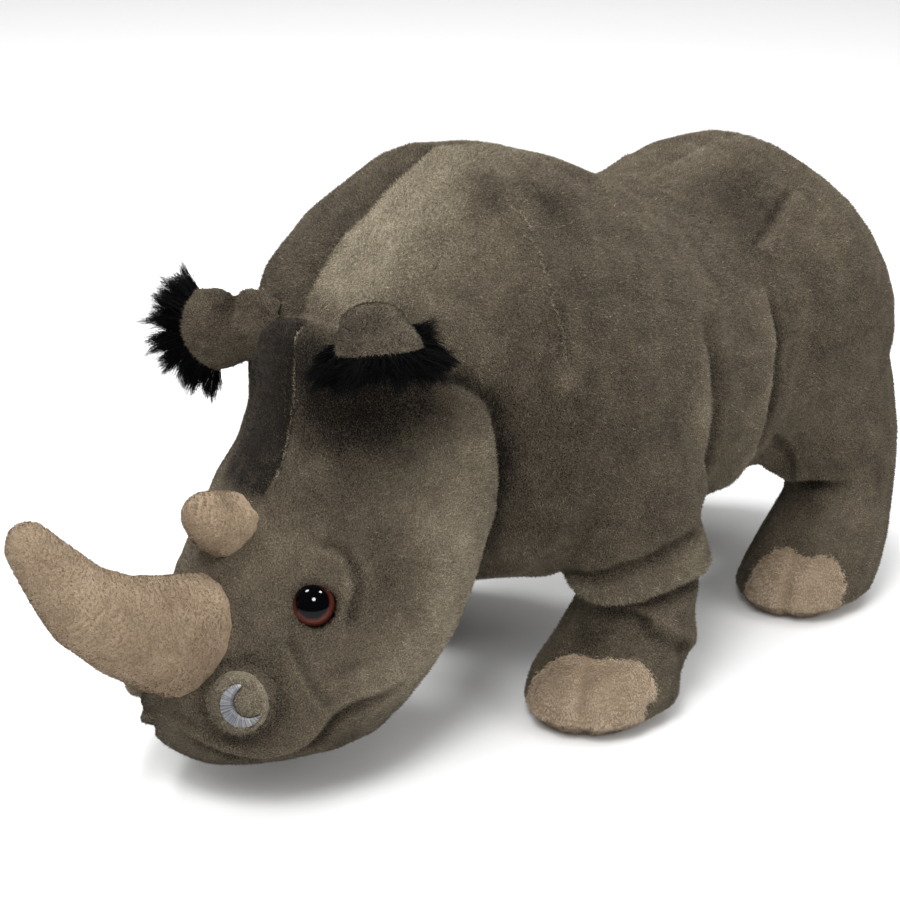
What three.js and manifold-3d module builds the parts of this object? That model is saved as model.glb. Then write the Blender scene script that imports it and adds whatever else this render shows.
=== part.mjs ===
// A stuffed plush rhinoceros, standing with its head lowered and its long horn forward.
//
// Millimetres, +Z up. The animal looks along -Y and its left side is +X. The origin is on
// the floor, under the middle of its bounding box.
import * as THREE from "three";
import { mergeVertices } from "three/addons/utils/BufferGeometryUtils.js";
import Module from "manifold-3d";

const wasm = await Module();
wasm.setup();

// ---- Driving sizes ----------------------------------------------------------------------

const SEAM_GAP = 0.3; // between neighbouring pieces
const BACK_HEIGHT = 177; // floor to the top of the shoulder hump
const RUMP_HEIGHT = 154.5; // floor to the top of the rump
const BELLY_HEIGHT = 38; // floor to the underside of the chest
const CHEST_HALF_WIDTH = 62;
const HIP_HALF_WIDTH = 58;

const HEAD_PITCH = THREE.MathUtils.degToRad(58); // the long axis of the head points down
const CROWN = { y: -108, z: 128 }; // start of the head's long axis, between the ears
const HEAD_TILT = THREE.MathUtils.degToRad(6); // the crown hangs a little to the animal's right
const HEAD_PIVOT = 50; // height of the line about which the head tilts

const FORE_FOOT = { x: 49, y: -47, turn: THREE.MathUtils.degToRad(30), innerToe: 15.5 };
const HIND_FOOT = { x: 44, y: 63, turn: THREE.MathUtils.degToRad(24), innerToe: 12.5 };
const FOOT_RADIUS = 25;
const SOLE_HEIGHT = 4.5;

const EYE_RADIUS = 6.2;
const EAR_LENGTH = 27;
const EAR_WIDTH = 27;
const EAR_THICKNESS = 6.5;
const EAR_CUP = 10; // depth of the cup over one ear width
const FRINGE_REACH = 8.5; // how far the black fringe stands out past the ear's rim
const STITCH_HEIGHT = 0.8;

// ---- Finishes ---------------------------------------------------------------------------

const finish = (color, roughness) => ({ color, roughness, metalness: 0 });
const GREY_PLUSH = finish(0x5b554c, 0.95);
const TAN_PLUSH = finish(0xa5937f, 0.95);
const BLACK_PLUSH = finish(0x17171a, 0.9);
const EYE_PLASTIC = finish(0x0c0a0a, 0.08);
const BLUE_THREAD = finish(0x7f88a0, 0.6);

// ---- Shape helpers ----------------------------------------------------------------------

const degrees = THREE.MathUtils.degToRad;

// One oval section of a lofted body. Its plane holds the X axis and the direction that
// leans forward (towards -Y) from the vertical by `lean` degrees: 0 is an upright section,
// 90 a level one. `wide` and `high` are its half sizes across and along that direction, and
// `taper` narrows it towards the leaning side, as an egg narrows.
function section({ x = 0, y = 0, z = 0, lean = 0, wide, high, taper = 0 }) {
  return { centre: new THREE.Vector3(x, y, z), sizes: new THREE.Vector3(wide, high, taper), lean };
}

// A closed body through a row of sections, rounded off at both ends. The vertices of a
// sphere are moved onto it: longitude runs around each section, latitude runs along the row.
// The caps are the fractions of the row over which the ends round off; `grow` swells it.
function loft(sections, { sides, rings, startCap, endCap, grow = 0 }) {
  const centres = new THREE.CatmullRomCurve3(sections.map((s) => s.centre));
  const sizes = new THREE.CatmullRomCurve3(sections.map((s) => s.sizes));
  const leans = new THREE.SplineCurve(sections.map((s, i) => new THREE.Vector2(i, s.lean)));
  const geometry = new THREE.SphereGeometry(1, sides, rings);
  const { position, uv } = geometry.attributes;
  for (let i = 0; i < position.count; i += 1) {
    const along = (1 - Math.cos(Math.PI * (1 - uv.getY(i)))) / 2;
    const around = 2 * Math.PI * uv.getX(i);
    const centre = centres.getPoint(along);
    const size = sizes.getPoint(along);
    const lean = degrees(leans.getPoint(along).y);
    const up = new THREE.Vector3(0, -Math.sin(lean), Math.cos(lean));
    const fade = capFade(along, startCap) * capFade(1 - along, endCap);
    const lift = Math.sin(around);
    const across = fade * (size.x * (1 - size.z * lift) + grow) * Math.cos(around);
    centre.addScaledVector(up, fade * (size.y + grow) * lift);
    position.setXYZ(i, centre.x + across, centre.y, centre.z);
  }
  return geometry;
}

// The size of a section near an end, as a share of its full size: a quarter of an ellipse.
function capFade(distance, cap) {
  const inside = Math.max(0, 1 - distance / cap);
  return Math.sqrt(Math.max(0, 1 - inside * inside));
}

// Six times the enclosed volume, negative where the faces point inwards.
function signedVolume(points, triangles) {
  const corner = (i) => new THREE.Vector3().fromArray(points, 3 * triangles[i]);
  let sum = 0;
  for (let i = 0; i < triangles.length; i += 3) {
    sum += corner(i).dot(corner(i + 1).cross(corner(i + 2)));
  }
  return sum;
}

function solid(geometry) {
  const bare = geometry.clone();
  bare.deleteAttribute("normal");
  bare.deleteAttribute("uv");
  const merged = mergeVertices(bare, 1e-4);
  const vertProperties = merged.attributes.position.array;
  const triVerts = Uint32Array.from(merged.index.array);
  if (signedVolume(vertProperties, triVerts) < 0) triVerts.reverse();
  return new wasm.Manifold(new wasm.Mesh({ numProp: 3, vertProperties, triVerts }));
}

function ellipsoid(centre, radii, turn, grow, detail) {
  const geometry = new THREE.SphereGeometry(1, ...detail);
  geometry.scale(radii[0] + grow, radii[1] + grow, radii[2] + grow);
  geometry.applyMatrix4(turn);
  return geometry.translate(...centre);
}

function box(min, max) {
  const size = max.map((value, i) => value - min[i]);
  const geometry = new THREE.BoxGeometry(...size);
  return solid(geometry.translate(...min.map((value, i) => value + size[i] / 2)));
}

const root = new THREE.Group();
const pieces = new THREE.Group();
root.add(pieces);

function addPiece(name, manifold, look) {
  const mesh = manifold.getMesh();
  const geometry = new THREE.BufferGeometry();
  geometry.setAttribute("position", new THREE.BufferAttribute(mesh.vertProperties, 3));
  geometry.setIndex(new THREE.BufferAttribute(mesh.triVerts, 1));
  geometry.computeVertexNormals();
  const piece = new THREE.Mesh(geometry, new THREE.MeshStandardMaterial(look));
  piece.name = name;
  pieces.add(piece);
}

const SIDES = [["left", 1], ["right", -1]];

// ---- Head -------------------------------------------------------------------------------

// Every piece of the head is drawn upright and then tilted with it.
const headPose = new THREE.Matrix4().makeTranslation(0, 0, HEAD_PIVOT)
  .multiply(new THREE.Matrix4().makeRotationY(-HEAD_TILT))
  .multiply(new THREE.Matrix4().makeTranslation(0, 0, -HEAD_PIVOT));

const onPose = (geometry) => solid(geometry.applyMatrix4(headPose));

// A point in the head's own directions: `down` its long axis from the crown to the muzzle,
// `out` through the face, and `x` to its left.
function onHead(x, down, out) {
  const y = CROWN.y - down * Math.cos(HEAD_PITCH) - out * Math.sin(HEAD_PITCH);
  const z = CROWN.z - down * Math.sin(HEAD_PITCH) + out * Math.cos(HEAD_PITCH);
  return [x, y, z];
}

// Turns local X, Y, Z into the head's left, face-outward and up-the-long-axis directions,
// then swings them about that long axis towards the side.
function headTurn(yaw) {
  const base = new THREE.Matrix4().makeRotationX(HEAD_PITCH - Math.PI / 2);
  return base.multiply(new THREE.Matrix4().makeRotationZ(yaw));
}

// The face line and the throat line, both measured out from the long axis, half the width,
// and how much the section narrows towards the face.
const headShape = [
  { down: -5, face: 14, throat: 29, wide: 45, taper: 0.35 },
  { down: 12, face: 14, throat: 46, wide: 45, taper: 0.4 },
  { down: 31, face: 8, throat: 55.5, wide: 44, taper: 0.42 },
  { down: 52, face: 11, throat: 60.5, wide: 46.5, taper: 0.3 },
  { down: 72, face: 12.5, throat: 62, wide: 46, taper: 0.24 },
  { down: 92, face: 14.5, throat: 56, wide: 43.5, taper: 0.25 },
  { down: 112, face: 16.5, throat: 45, wide: 38, taper: 0.22 },
  { down: 132, face: 21, throat: 23, wide: 30.5, taper: 0 },
];

function headSections() {
  const lean = THREE.MathUtils.radToDeg(HEAD_PITCH);
  return headShape.map(({ down, face, throat, wide, taper }) => {
    const [x, y, z] = onHead(0, down, (face - throat) / 2);
    return section({ x, y, z, lean, wide, high: (face + throat) / 2, taper });
  });
}

const headSolid = (grow = 0) => onPose(loft(headSections(), {
  sides: 26, rings: 18, startCap: 0.13, endCap: 0.2, grow,
}));

// ---- Eyes -------------------------------------------------------------------------------

// The right eye was set a little further round the head than the left.
const LEFT_EYE = { x: 29.1, down: 79.5, out: -3.4, yaw: degrees(56) };
const RIGHT_EYE = { x: 33.5, down: 80, out: -10, yaw: degrees(68) };

function eyeSolid(side, grow = 0) {
  const { x, down, out, yaw } = side > 0 ? LEFT_EYE : RIGHT_EYE;
  const turn = headTurn(side * yaw);
  const radii = [EYE_RADIUS, EYE_RADIUS * 0.72, EYE_RADIUS];
  const centre = onHead(side * x, down, out);
  return onPose(ellipsoid(centre, radii, turn, grow, [12, 8]));
}

// ---- Horns ------------------------------------------------------------------------------

const hornSections = [
  { y: -150, z: 45, lean: 82, wide: 13.5, high: 18.5 },
  { y: -165, z: 49, lean: 78, wide: 15.5, high: 19.5 },
  { y: -185, z: 57.5, lean: 66, wide: 15.5, high: 16.2 },
  { y: -204, z: 70, lean: 52, wide: 12, high: 12.5 },
  { y: -216, z: 87, lean: 42, wide: 8.5, high: 9 },
  { y: -224, z: 100, lean: 36, wide: 6, high: 6 },
].map((shape) => section({ ...shape, lean: shape.lean - 90 }));

const hornSolid = () => onPose(loft(hornSections, {
  sides: 16, rings: 12, startCap: 0.1, endCap: 0.08,
}));

const nubSections = [
  { y: -138, z: 77, wide: 9.5, high: 10 },
  { y: -150, z: 79, wide: 10, high: 10.5 },
  { y: -160, z: 83, wide: 9, high: 9 },
  { y: -166.5, z: 87.5, wide: 7, high: 6 },
].map((shape) => section({ ...shape, lean: -25 }));

const nubSolid = () => onPose(loft(nubSections, {
  sides: 12, rings: 8, startCap: 0.2, endCap: 0.25,
}));

// ---- Neck and trunk ---------------------------------------------------------------------

// Upright sections from the nape to the rump: height of the back line, of the belly line,
// and half the width. The neck is broadest near its top.
const trunkShape = [
  { x: -6, y: -124, top: 133, bottom: 74, wide: 34, taper: -0.3 },
  { x: -6, y: -97, top: 157, bottom: 54, wide: 40.5, taper: -0.38 },
  { x: 1, y: -66, top: BACK_HEIGHT, bottom: BELLY_HEIGHT, wide: CHEST_HALF_WIDTH - 1, taper: 0.15 },
  { y: -24, top: 164, bottom: 32, wide: CHEST_HALF_WIDTH },
  { y: 12, top: 148, bottom: 38, wide: 57 },
  { y: 38, top: 150.5, bottom: 37.5, wide: 54 },
  { y: 66, top: RUMP_HEIGHT, bottom: 38.5, wide: HIP_HALF_WIDTH },
  { y: 96, top: 138, bottom: 46, wide: 52 },
  { y: 121, top: 112, bottom: 60, wide: 40 },
];

function trunkSections() {
  return trunkShape.map(({ x, y, top, bottom, wide, taper }) => (
    section({ x, y, z: (top + bottom) / 2, wide, high: (top - bottom) / 2, taper })
  ));
}

const trunkSolid = (grow = 0) => solid(loft(trunkSections(), {
  sides: 28, rings: 19, startCap: 0.12, endCap: 0.18, grow,
}));

// ---- Legs -------------------------------------------------------------------------------

// Level sections from inside the trunk down to the sole. The foot is wider than the ankle
// and stands forward of it.
const foreLegShape = [
  { x: -14, y: 8, z: 112, wide: 24, high: 30 },
  { x: -9, y: 9, z: 84, wide: 25, high: 30 },
  { x: -3, y: 12, z: 58, wide: 22.5, high: 26 },
  { x: -1, y: 14, z: 43, wide: 21, high: 22 },
  { x: 0, y: 14, z: 32, wide: 20, high: 18.5 },
  { x: 0.5, y: 3.5, z: 19, wide: 23, high: 25.5 },
  { x: -0.5, y: -2, z: 8, wide: 22.5, high: FOOT_RADIUS },
  { x: -3, y: -5, z: -4, wide: 14, high: 15 },
];

const hindLegShape = [
  { x: -17, y: 10, z: 116, wide: 22, high: 25 },
  { x: -11, y: 12, z: 88, wide: 22.5, high: 26.5 },
  { x: -5.5, y: 10, z: 62, wide: 23, high: 28.5 },
  { x: -1, y: 15, z: 45, wide: 18.5, high: 18.5 },
  { x: 0, y: 13, z: 34, wide: 18.5, high: 18.5 },
  { x: 0.5, y: 4, z: 20, wide: 21.5, high: 24 },
  { x: -1, y: -1, z: 8, wide: 22.5, high: FOOT_RADIUS },
  { x: -3.5, y: -5, z: -4, wide: 13, high: 14 },
];

function legSolid(shape, foot, side, grow = 0) {
  const sections = shape.map(({ x, y, z, wide, high }) => (
    section({ x: side * (foot.x + x), y: foot.y + y, z, lean: 90, wide, high })
  ));
  return solid(loft(sections, { sides: 18, rings: 13, startCap: 0.15, endCap: 0.1, grow }));
}

// The tan toe cap: two round lobes side by side on the front of the foot. On the front feet
// the inner lobe is the larger.
function toeLobes(foot, side, grow = 0) {
  const turn = new THREE.Matrix4().makeRotationZ(side * foot.turn);
  const lobe = (offset, radius) => {
    const centre = new THREE.Vector3(offset * side, -FOOT_RADIUS, 13).applyMatrix4(turn);
    const at = [side * foot.x + centre.x, foot.y + centre.y, centre.z];
    return solid(ellipsoid(at, [radius, 12.5, 20], turn, grow, [10, 6]));
  };
  return lobe(9.5, 12.5).add(lobe(-foot.innerToe + 3, foot.innerToe));
}

function addLeg(name, shape, foot, side, trunk) {
  const floor = box([-200, -300, -50], [200, 300, 0]);
  const soleBand = box([-200, -300, -50], [200, 300, SOLE_HEIGHT]);
  const soleCut = box([-200, -300, -50], [200, 300, SOLE_HEIGHT + SEAM_GAP]);
  const whole = legSolid(shape, foot, side).subtract(floor);
  const upper = whole.subtract(soleCut);
  const lobeCut = toeLobes(foot, side, SEAM_GAP);
  addPiece(`${name}_leg`, upper.subtract(trunk).subtract(lobeCut), GREY_PLUSH);
  addPiece(`${name}_toes`, upper.intersect(toeLobes(foot, side)), TAN_PLUSH);
  addPiece(`${name}_sole`, whole.intersect(soleBand), TAN_PLUSH);
}

// ---- Ears -------------------------------------------------------------------------------

// The fringe starts a third of the way up the ear and has its full reach over the rim.
const rimShare = (share) => THREE.MathUtils.smoothstep(share, 0.15, 0.7);

// An ear in its own directions: width along X, thickness along Y, root at the origin and
// tip up Z. The blade is cupped, and a little narrower at its root.
function earGeometry(spread = 0, thicken = 0) {
  const shape = [
    { share: -0.3, wide: 0.36, thick: 1.2 },
    { share: 0.08, wide: 0.38, thick: 1.3 },
    { share: 0.38, wide: 0.46, thick: 1.1 },
    { share: 0.7, wide: 0.5, thick: 0.9 },
    { share: 1, wide: 0.38, thick: 0.6 },
  ];
  const sections = shape.map(({ share, wide, thick }) => section({
    z: share * EAR_LENGTH + spread * rimShare(share),
    lean: 90,
    wide: wide * EAR_WIDTH + spread * rimShare(share),
    high: (thick * EAR_THICKNESS) / 2 + thicken,
  }));
  const geometry = loft(sections, { sides: 14, rings: 9, startCap: 0.15, endCap: 0.3 });
  const { position } = geometry.attributes;
  for (let i = 0; i < position.count; i += 1) {
    const across = position.getX(i) / EAR_WIDTH;
    position.setY(i, position.getY(i) - EAR_CUP * across * across);
  }
  return geometry;
}

// Where an ear's root sits, where it points, and which way its width runs.
const ears = {
  left: { root: [29, -116.5, 135.8], tip: [0.71, -0.56, -0.16], width: [0.616, 0.788, 0] },
  right: { root: [-21, -117, 128], tip: [-0.88, -0.42, -0.17], width: [0.1, 0, -1] },
};

function earTurn({ root: at, tip, width }) {
  const z = new THREE.Vector3(...tip).normalize();
  const x = new THREE.Vector3(...width);
  x.addScaledVector(z, -x.dot(z)).normalize();
  const y = new THREE.Vector3().crossVectors(z, x);
  return new THREE.Matrix4().makeBasis(x, y, z).setPosition(...at);
}

function addEar(side, head, trunk) {
  const turn = earTurn(ears[side]);
  const placed = (spread, thicken) => onPose(earGeometry(spread, thicken).applyMatrix4(turn));
  const outerHalf = new THREE.BoxGeometry(90, 60, 60).translate(0, 0, 30 + EAR_LENGTH * 0.36);
  const rim = onPose(outerHalf.applyMatrix4(turn));
  const blade = placed(0, 0).subtract(head).subtract(trunk);
  const fringe = placed(FRINGE_REACH, -0.6).intersect(rim).subtract(placed(SEAM_GAP, SEAM_GAP));
  addPiece(`${side}_ear`, blade, GREY_PLUSH);
  addPiece(`${side}_ear_fringe`, fringe.subtract(head).subtract(trunk), BLACK_PLUSH);
}

// ---- Nostrils ---------------------------------------------------------------------------

const NOSTRIL = { x: 22, down: 110.5, out: 6, yaw: degrees(46) };
const NOSTRIL_RADIUS = 9.5;

function nostrilPad(side, grow = 0) {
  const turn = headTurn(side * NOSTRIL.yaw);
  const radii = [NOSTRIL_RADIUS, 4.5, NOSTRIL_RADIUS];
  const at = onHead(side * NOSTRIL.x, NOSTRIL.down, NOSTRIL.out);
  return onPose(ellipsoid(at, radii, turn, grow, [14, 8]));
}

// The embroidered crescent lies on the lower front of the pad.
function nostrilStitch(side) {
  const outer = NOSTRIL_RADIUS * 0.72;
  const crescent = new THREE.Shape();
  crescent.absarc(0, 0, outer, degrees(-200), degrees(-20), false);
  crescent.absarc(outer * 0.25, outer * 0.25, outer * 0.72, degrees(-30), degrees(-190), true);
  const prism = new THREE.ExtrudeGeometry(crescent, {
    depth: 12, bevelEnabled: false, curveSegments: 4,
  });
  prism.rotateX(Math.PI / 2);
  prism.scale(side, 1, 1);
  prism.applyMatrix4(headTurn(side * NOSTRIL.yaw));
  prism.translate(...onHead(side * NOSTRIL.x, NOSTRIL.down, NOSTRIL.out));
  const raised = nostrilPad(side, SEAM_GAP + STITCH_HEIGHT);
  return raised.intersect(onPose(prism)).subtract(nostrilPad(side, SEAM_GAP));
}

// ---- Tail -------------------------------------------------------------------------------

// It hangs close against the rump and ends in a black tuft.
const tailSections = [
  { y: 108, z: 122, wide: 6, high: 5 },
  { y: 120, z: 108, wide: 5.5, high: 5 },
  { y: 127, z: 90, wide: 4.5, high: 4.5 },
  { y: 128, z: 72, wide: 4, high: 4 },
].map((shape) => section({ ...shape, lean: 90 }));

const tuftSections = [
  { y: 127.5, z: 79, wide: 4.6, high: 4.6 },
  { y: 128, z: 68, wide: 6, high: 5.5 },
  { y: 128, z: 55, wide: 5.5, high: 5 },
  { y: 127, z: 44, wide: 2.5, high: 2.5 },
].map((shape) => section({ ...shape, lean: 90 }));

const tailSolid = (grow = 0) => solid(loft(tailSections, {
  sides: 10, rings: 8, startCap: 0.1, endCap: 0.1, grow,
}));

// ---- Assembly ---------------------------------------------------------------------------

const headGrown = headSolid(SEAM_GAP);
const trunkGrown = trunkSolid(SEAM_GAP);
const NECK_CUT = -92;

const trunkWhole = trunkSolid().subtract(headGrown);
const behindNeckCut = box([-99, NECK_CUT, -9], [99, 299, 299]);
const beforeNeckCut = box([-99, -299, -9], [99, NECK_CUT - SEAM_GAP, 299]);
addPiece("trunk", trunkWhole.intersect(behindNeckCut), GREY_PLUSH);
addPiece("neck", trunkWhole.intersect(beforeNeckCut), GREY_PLUSH);

let face = headSolid();
for (const [, side] of SIDES) face = face.subtract(eyeSolid(side, SEAM_GAP));
addPiece("head", face, GREY_PLUSH);
addPiece("front_horn", hornSolid().subtract(headGrown), TAN_PLUSH);
addPiece("rear_horn", nubSolid().subtract(headGrown), TAN_PLUSH);

for (const [name, side] of SIDES) {
  addPiece(`${name}_eye`, eyeSolid(side), EYE_PLASTIC);
  addPiece(`${name}_nostril`, nostrilPad(side).subtract(headGrown), GREY_PLUSH);
  addPiece(`${name}_nostril_stitch`, nostrilStitch(side).subtract(headGrown), BLUE_THREAD);
  addEar(name, headGrown, trunkGrown);
  addLeg(`front_${name}`, foreLegShape, FORE_FOOT, side, trunkGrown);
  addLeg(`hind_${name}`, hindLegShape, HIND_FOOT, side, trunkGrown);
}

addPiece("tail", tailSolid().subtract(trunkGrown), GREY_PLUSH);
const tuft = solid(loft(tuftSections, { sides: 10, rings: 8, startCap: 0.2, endCap: 0.4 }));
addPiece("tail_tuft", tuft.subtract(tailSolid(SEAM_GAP)), BLACK_PLUSH);

const bounds = new THREE.Box3().setFromObject(root);
const middle = bounds.getCenter(new THREE.Vector3());
pieces.position.set(-middle.x, -middle.y, -bounds.min.z);

export default root;
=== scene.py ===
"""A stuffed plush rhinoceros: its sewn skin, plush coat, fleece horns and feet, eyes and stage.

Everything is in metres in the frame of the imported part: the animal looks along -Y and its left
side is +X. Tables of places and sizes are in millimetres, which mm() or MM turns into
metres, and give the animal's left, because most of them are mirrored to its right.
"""

import math
from collections import namedtuple

import bmesh
import bpy
import numpy as np
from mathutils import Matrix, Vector
from mathutils.bvhtree import BVHTree


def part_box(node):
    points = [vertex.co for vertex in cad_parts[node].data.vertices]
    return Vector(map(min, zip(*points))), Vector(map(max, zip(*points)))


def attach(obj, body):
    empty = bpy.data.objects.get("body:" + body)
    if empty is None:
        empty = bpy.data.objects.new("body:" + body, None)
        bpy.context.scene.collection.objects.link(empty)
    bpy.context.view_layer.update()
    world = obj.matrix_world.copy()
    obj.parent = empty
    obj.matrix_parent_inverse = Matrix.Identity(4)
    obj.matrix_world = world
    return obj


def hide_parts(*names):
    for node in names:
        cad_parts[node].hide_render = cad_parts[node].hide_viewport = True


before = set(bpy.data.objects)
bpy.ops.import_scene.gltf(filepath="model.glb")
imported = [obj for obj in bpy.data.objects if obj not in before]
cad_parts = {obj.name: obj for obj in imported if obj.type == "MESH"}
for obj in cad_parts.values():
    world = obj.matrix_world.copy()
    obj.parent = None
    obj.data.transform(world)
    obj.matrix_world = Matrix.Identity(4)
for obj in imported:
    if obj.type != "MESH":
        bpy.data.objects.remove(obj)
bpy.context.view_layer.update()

MM = 0.001
SKIN_VOXEL = 1.25 * MM
SMALL_VOXEL = 0.9 * MM
SEAM_CLOSING = 0.5 * MM  # the solids swell by this, so that the cuts between them close
FLOOR_CLEARANCE = 0.15 * MM
HEAD_TILT = math.radians(6)  # the crown hangs a little to the animal's right
HEAD_PIVOT = 50 * MM  # height of the line about which the head tilts

# Each kind of pile: how far its tips stand off the skin, the length and width of a tuft, and
# how many tufts grow on a square millimetre.
Pile = namedtuple("Pile", "height length width density")
PILES = {
    "body": Pile(0.75, 1.35, 0.27, 8.0),
    "face": Pile(0.65, 1.1, 0.24, 9.5),
    "foot": Pile(0.7, 1.2, 0.25, 9.0),
    "fleece": Pile(0.55, 1.25, 0.26, 13.0),
    "cap": Pile(0.75, 1.45, 0.27, 12.0),
    "ear": Pile(0.65, 1.1, 0.25, 10.0),
    "pad": Pile(0.8, 1.8, 0.24, 12.0),
}
SHARE = 1.0  # of the tufts, while trying things out
SQUARE_METRE = 1e6  # in square millimetres

FEET = [f"{end}_{side}" for end in ("front", "hind") for side in ("left", "right")]
SIDES = {"left": 1, "right": -1}

# ---- Small helpers ----------------------------------------------------------------------


def mm(*point):
    return np.array(point, float) * MM


def unit(vectors):
    length = np.linalg.norm(vectors, axis=-1, keepdims=True)
    return vectors / np.maximum(length, 1e-12)


def smoothstep(low, high, value):
    t = np.clip((value - low) / (high - low), 0, 1)
    return t * t * (3 - 2 * t)


def bell(distance, width):
    return np.exp(-((distance / width) ** 2))


def hump(distance, width):
    """0 on a line, about 1 at 0.7 of the width from it, and 0 again far away."""
    reach = distance / width
    return 2.3 * reach * np.exp(-reach * reach)


def away(points, place):
    return np.linalg.norm(points - place, axis=1)


def ring(points, middle, radius, width, amount):
    """A soft ring at this distance from its middle."""
    return amount * bell(away(points, middle) - radius, width)


def spots(points, rows):
    """The sum of soft spots, each given as x, y, z, radius and amount."""
    total = np.zeros(len(points))
    for *place, radius, amount in rows:
        total += amount * bell(away(points, mm(*place)), radius * MM)
    return total


def tilted(points, angle):
    """Points turned about the head's tilting line."""
    points = np.array(points, float)
    rise = points[..., 2] - HEAD_PIVOT
    turned = points.copy()
    turned[..., 0] = points[..., 0] * math.cos(angle) - rise * math.sin(angle)
    turned[..., 2] = HEAD_PIVOT + points[..., 0] * math.sin(angle) + rise * math.cos(angle)
    return turned


def mirrored(points, on_head=False):
    """The same places on the animal's right, across the tilted plane where they are on the head."""
    upright = tilted(points, -HEAD_TILT) if on_head else np.array(points, float)
    upright[..., 0] *= -1
    return tilted(upright, HEAD_TILT) if on_head else upright


def box_of(node):
    return np.array([list(corner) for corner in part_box(node)])


def middle_of(node):
    low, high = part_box(node)
    return np.array((low + high) / 2)


LATTICE = 32


def noise(points, scale, seed):
    """Smooth noise from -1 to 1, whose lumps are about scale across."""
    grid = np.random.default_rng(seed).random((LATTICE,) * 3)
    at = points / scale + 100
    low = np.floor(at).astype(int)
    part = at - low
    part = part * part * (3 - 2 * part)
    total = np.zeros(len(points))
    for corner in np.ndindex(2, 2, 2):
        share = np.prod([part[:, i] if c else 1 - part[:, i] for i, c in enumerate(corner)], 0)
        total += share * grid[tuple((low[:, i] + c) % LATTICE for i, c in enumerate(corner))]
    return 2 * total - 1


def catmull_rom(points, steps):
    """A smooth line through the points, with this many steps from each to the next."""
    points = np.array(points, float)
    row = np.vstack([2 * points[0] - points[1], points, 2 * points[-1] - points[-2]])
    line = []
    for a, b, c, d in zip(row, row[1:], row[2:], row[3:]):
        for t in np.arange(steps) / steps:
            line.append(0.5 * (2 * b + (c - a) * t + (2 * a - 5 * b + 4 * c - d) * t * t
                               + (3 * b - a - 3 * c + d) * t ** 3))
    return np.array([*line, points[-1]])


def linked(name, data):
    obj = bpy.data.objects.new(name, data)
    bpy.context.scene.collection.objects.link(obj)
    return obj


def mesh_object(name, vertices, faces, materials, slots=None, smooth=True):
    """A new object from arrays, with every face of the same number of corners."""
    me = bpy.data.meshes.new(name)
    me.vertices.add(len(vertices))
    me.vertices.foreach_set("co", np.asarray(vertices, np.float32).ravel())
    me.loops.add(faces.size)
    me.loops.foreach_set("vertex_index", faces.astype(np.int32).ravel())
    me.polygons.add(len(faces))
    me.polygons.foreach_set("loop_start", np.arange(0, faces.size, faces.shape[1], dtype=np.int32))
    for material in materials:
        me.materials.append(material)
    if slots is not None:
        me.polygons.foreach_set("material_index", slots.astype(np.int32))
    me.update(calc_edges=True)
    me.polygons.foreach_set("use_smooth", np.full(len(faces), smooth))
    return linked(name, me)


def keep_values(obj, name, values):
    layer = obj.data.attributes.new(name, "FLOAT", "POINT")
    layer.data.foreach_set("value", np.asarray(values, np.float32))


def finished(obj, slot, *nodes, fill=None):
    """Sets a piece on the frame and hides the CAD nodes that it stands for; its material slot is
    not used.
    """
    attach(obj, "root")
    if nodes:
        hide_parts(*nodes)


# ---- Surfaces ---------------------------------------------------------------------------


class Surface:
    """A closed mesh of quads, whose vertices are moved before it becomes an object."""

    def __init__(self, vertices, quads):
        self.co = np.asarray(vertices, float)
        self.quads = np.asarray(quads)
        pairs = np.sort(self.quads[:, [0, 1, 1, 2, 2, 3, 3, 0]].reshape(-1, 2), 1)
        self.edges = np.unique(pairs, axis=0)
        self.degree = np.bincount(self.edges.ravel(), minlength=len(self.co))

    def spread(self, values, rounds=1):
        """Each vertex's average over its neighbours, taken this many times."""
        a, b = self.edges.T
        n = len(self.co)
        for _ in range(rounds):
            sums = [np.bincount(a, column[b], n) + np.bincount(b, column[a], n)
                    for column in values.reshape(n, -1).T]
            values = (np.stack(sums, 1) / self.degree[:, None]).reshape(values.shape)
        return values

    def smooth(self, rounds):
        """Evens out the facets and keeps the volume: each step in is followed by one out."""
        for _ in range(rounds):
            for step in (0.5, -0.52):
                self.co += step * (self.spread(self.co) - self.co)

    def normals(self):
        a, b, c, d = (self.co[self.quads[:, i]] for i in range(4))
        across = np.cross(c - a, d - b)
        total = np.zeros_like(self.co)
        for i in range(4):
            for axis in range(3):
                total[:, axis] += np.bincount(self.quads[:, i], across[:, axis], len(self.co))
        return unit(total)

    def push(self, distance):
        self.co += self.normals() * np.reshape(distance, (-1, 1))

    def push_spot(self, place, radius, amount):
        self.push(amount * MM * bell(away(self.co, place), radius * MM))

    def tree(self):
        return BVHTree.FromPolygons(self.co.tolist(), self.quads.tolist())

    def largest_part(self):
        """This surface without any loose scrap that the remesh left inside it."""
        label = np.arange(len(self.co))
        a, b = self.edges.T
        while True:
            low = np.minimum(label[a], label[b])
            found = label.copy()
            np.minimum.at(found, a, low)
            np.minimum.at(found, b, low)
            found = found[found]
            if (found == label).all():
                break
            label = found
        kept = label == np.bincount(label).argmax()
        place = np.cumsum(kept) - 1
        return Surface(self.co[kept], place[self.quads[kept[self.quads[:, 0]]]])


def solid_of(node, swell):
    """A CAD node's solid as one closed bmesh, swollen along its normals."""
    solid = bmesh.new()
    solid.from_mesh(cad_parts[node].data)
    bmesh.ops.remove_doubles(solid, verts=solid.verts, dist=1e-6)
    solid.normal_update()
    moves = [vertex.normal * swell for vertex in solid.verts]
    for vertex, move in zip(solid.verts, moves):
        vertex.co += move
    return solid


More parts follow.
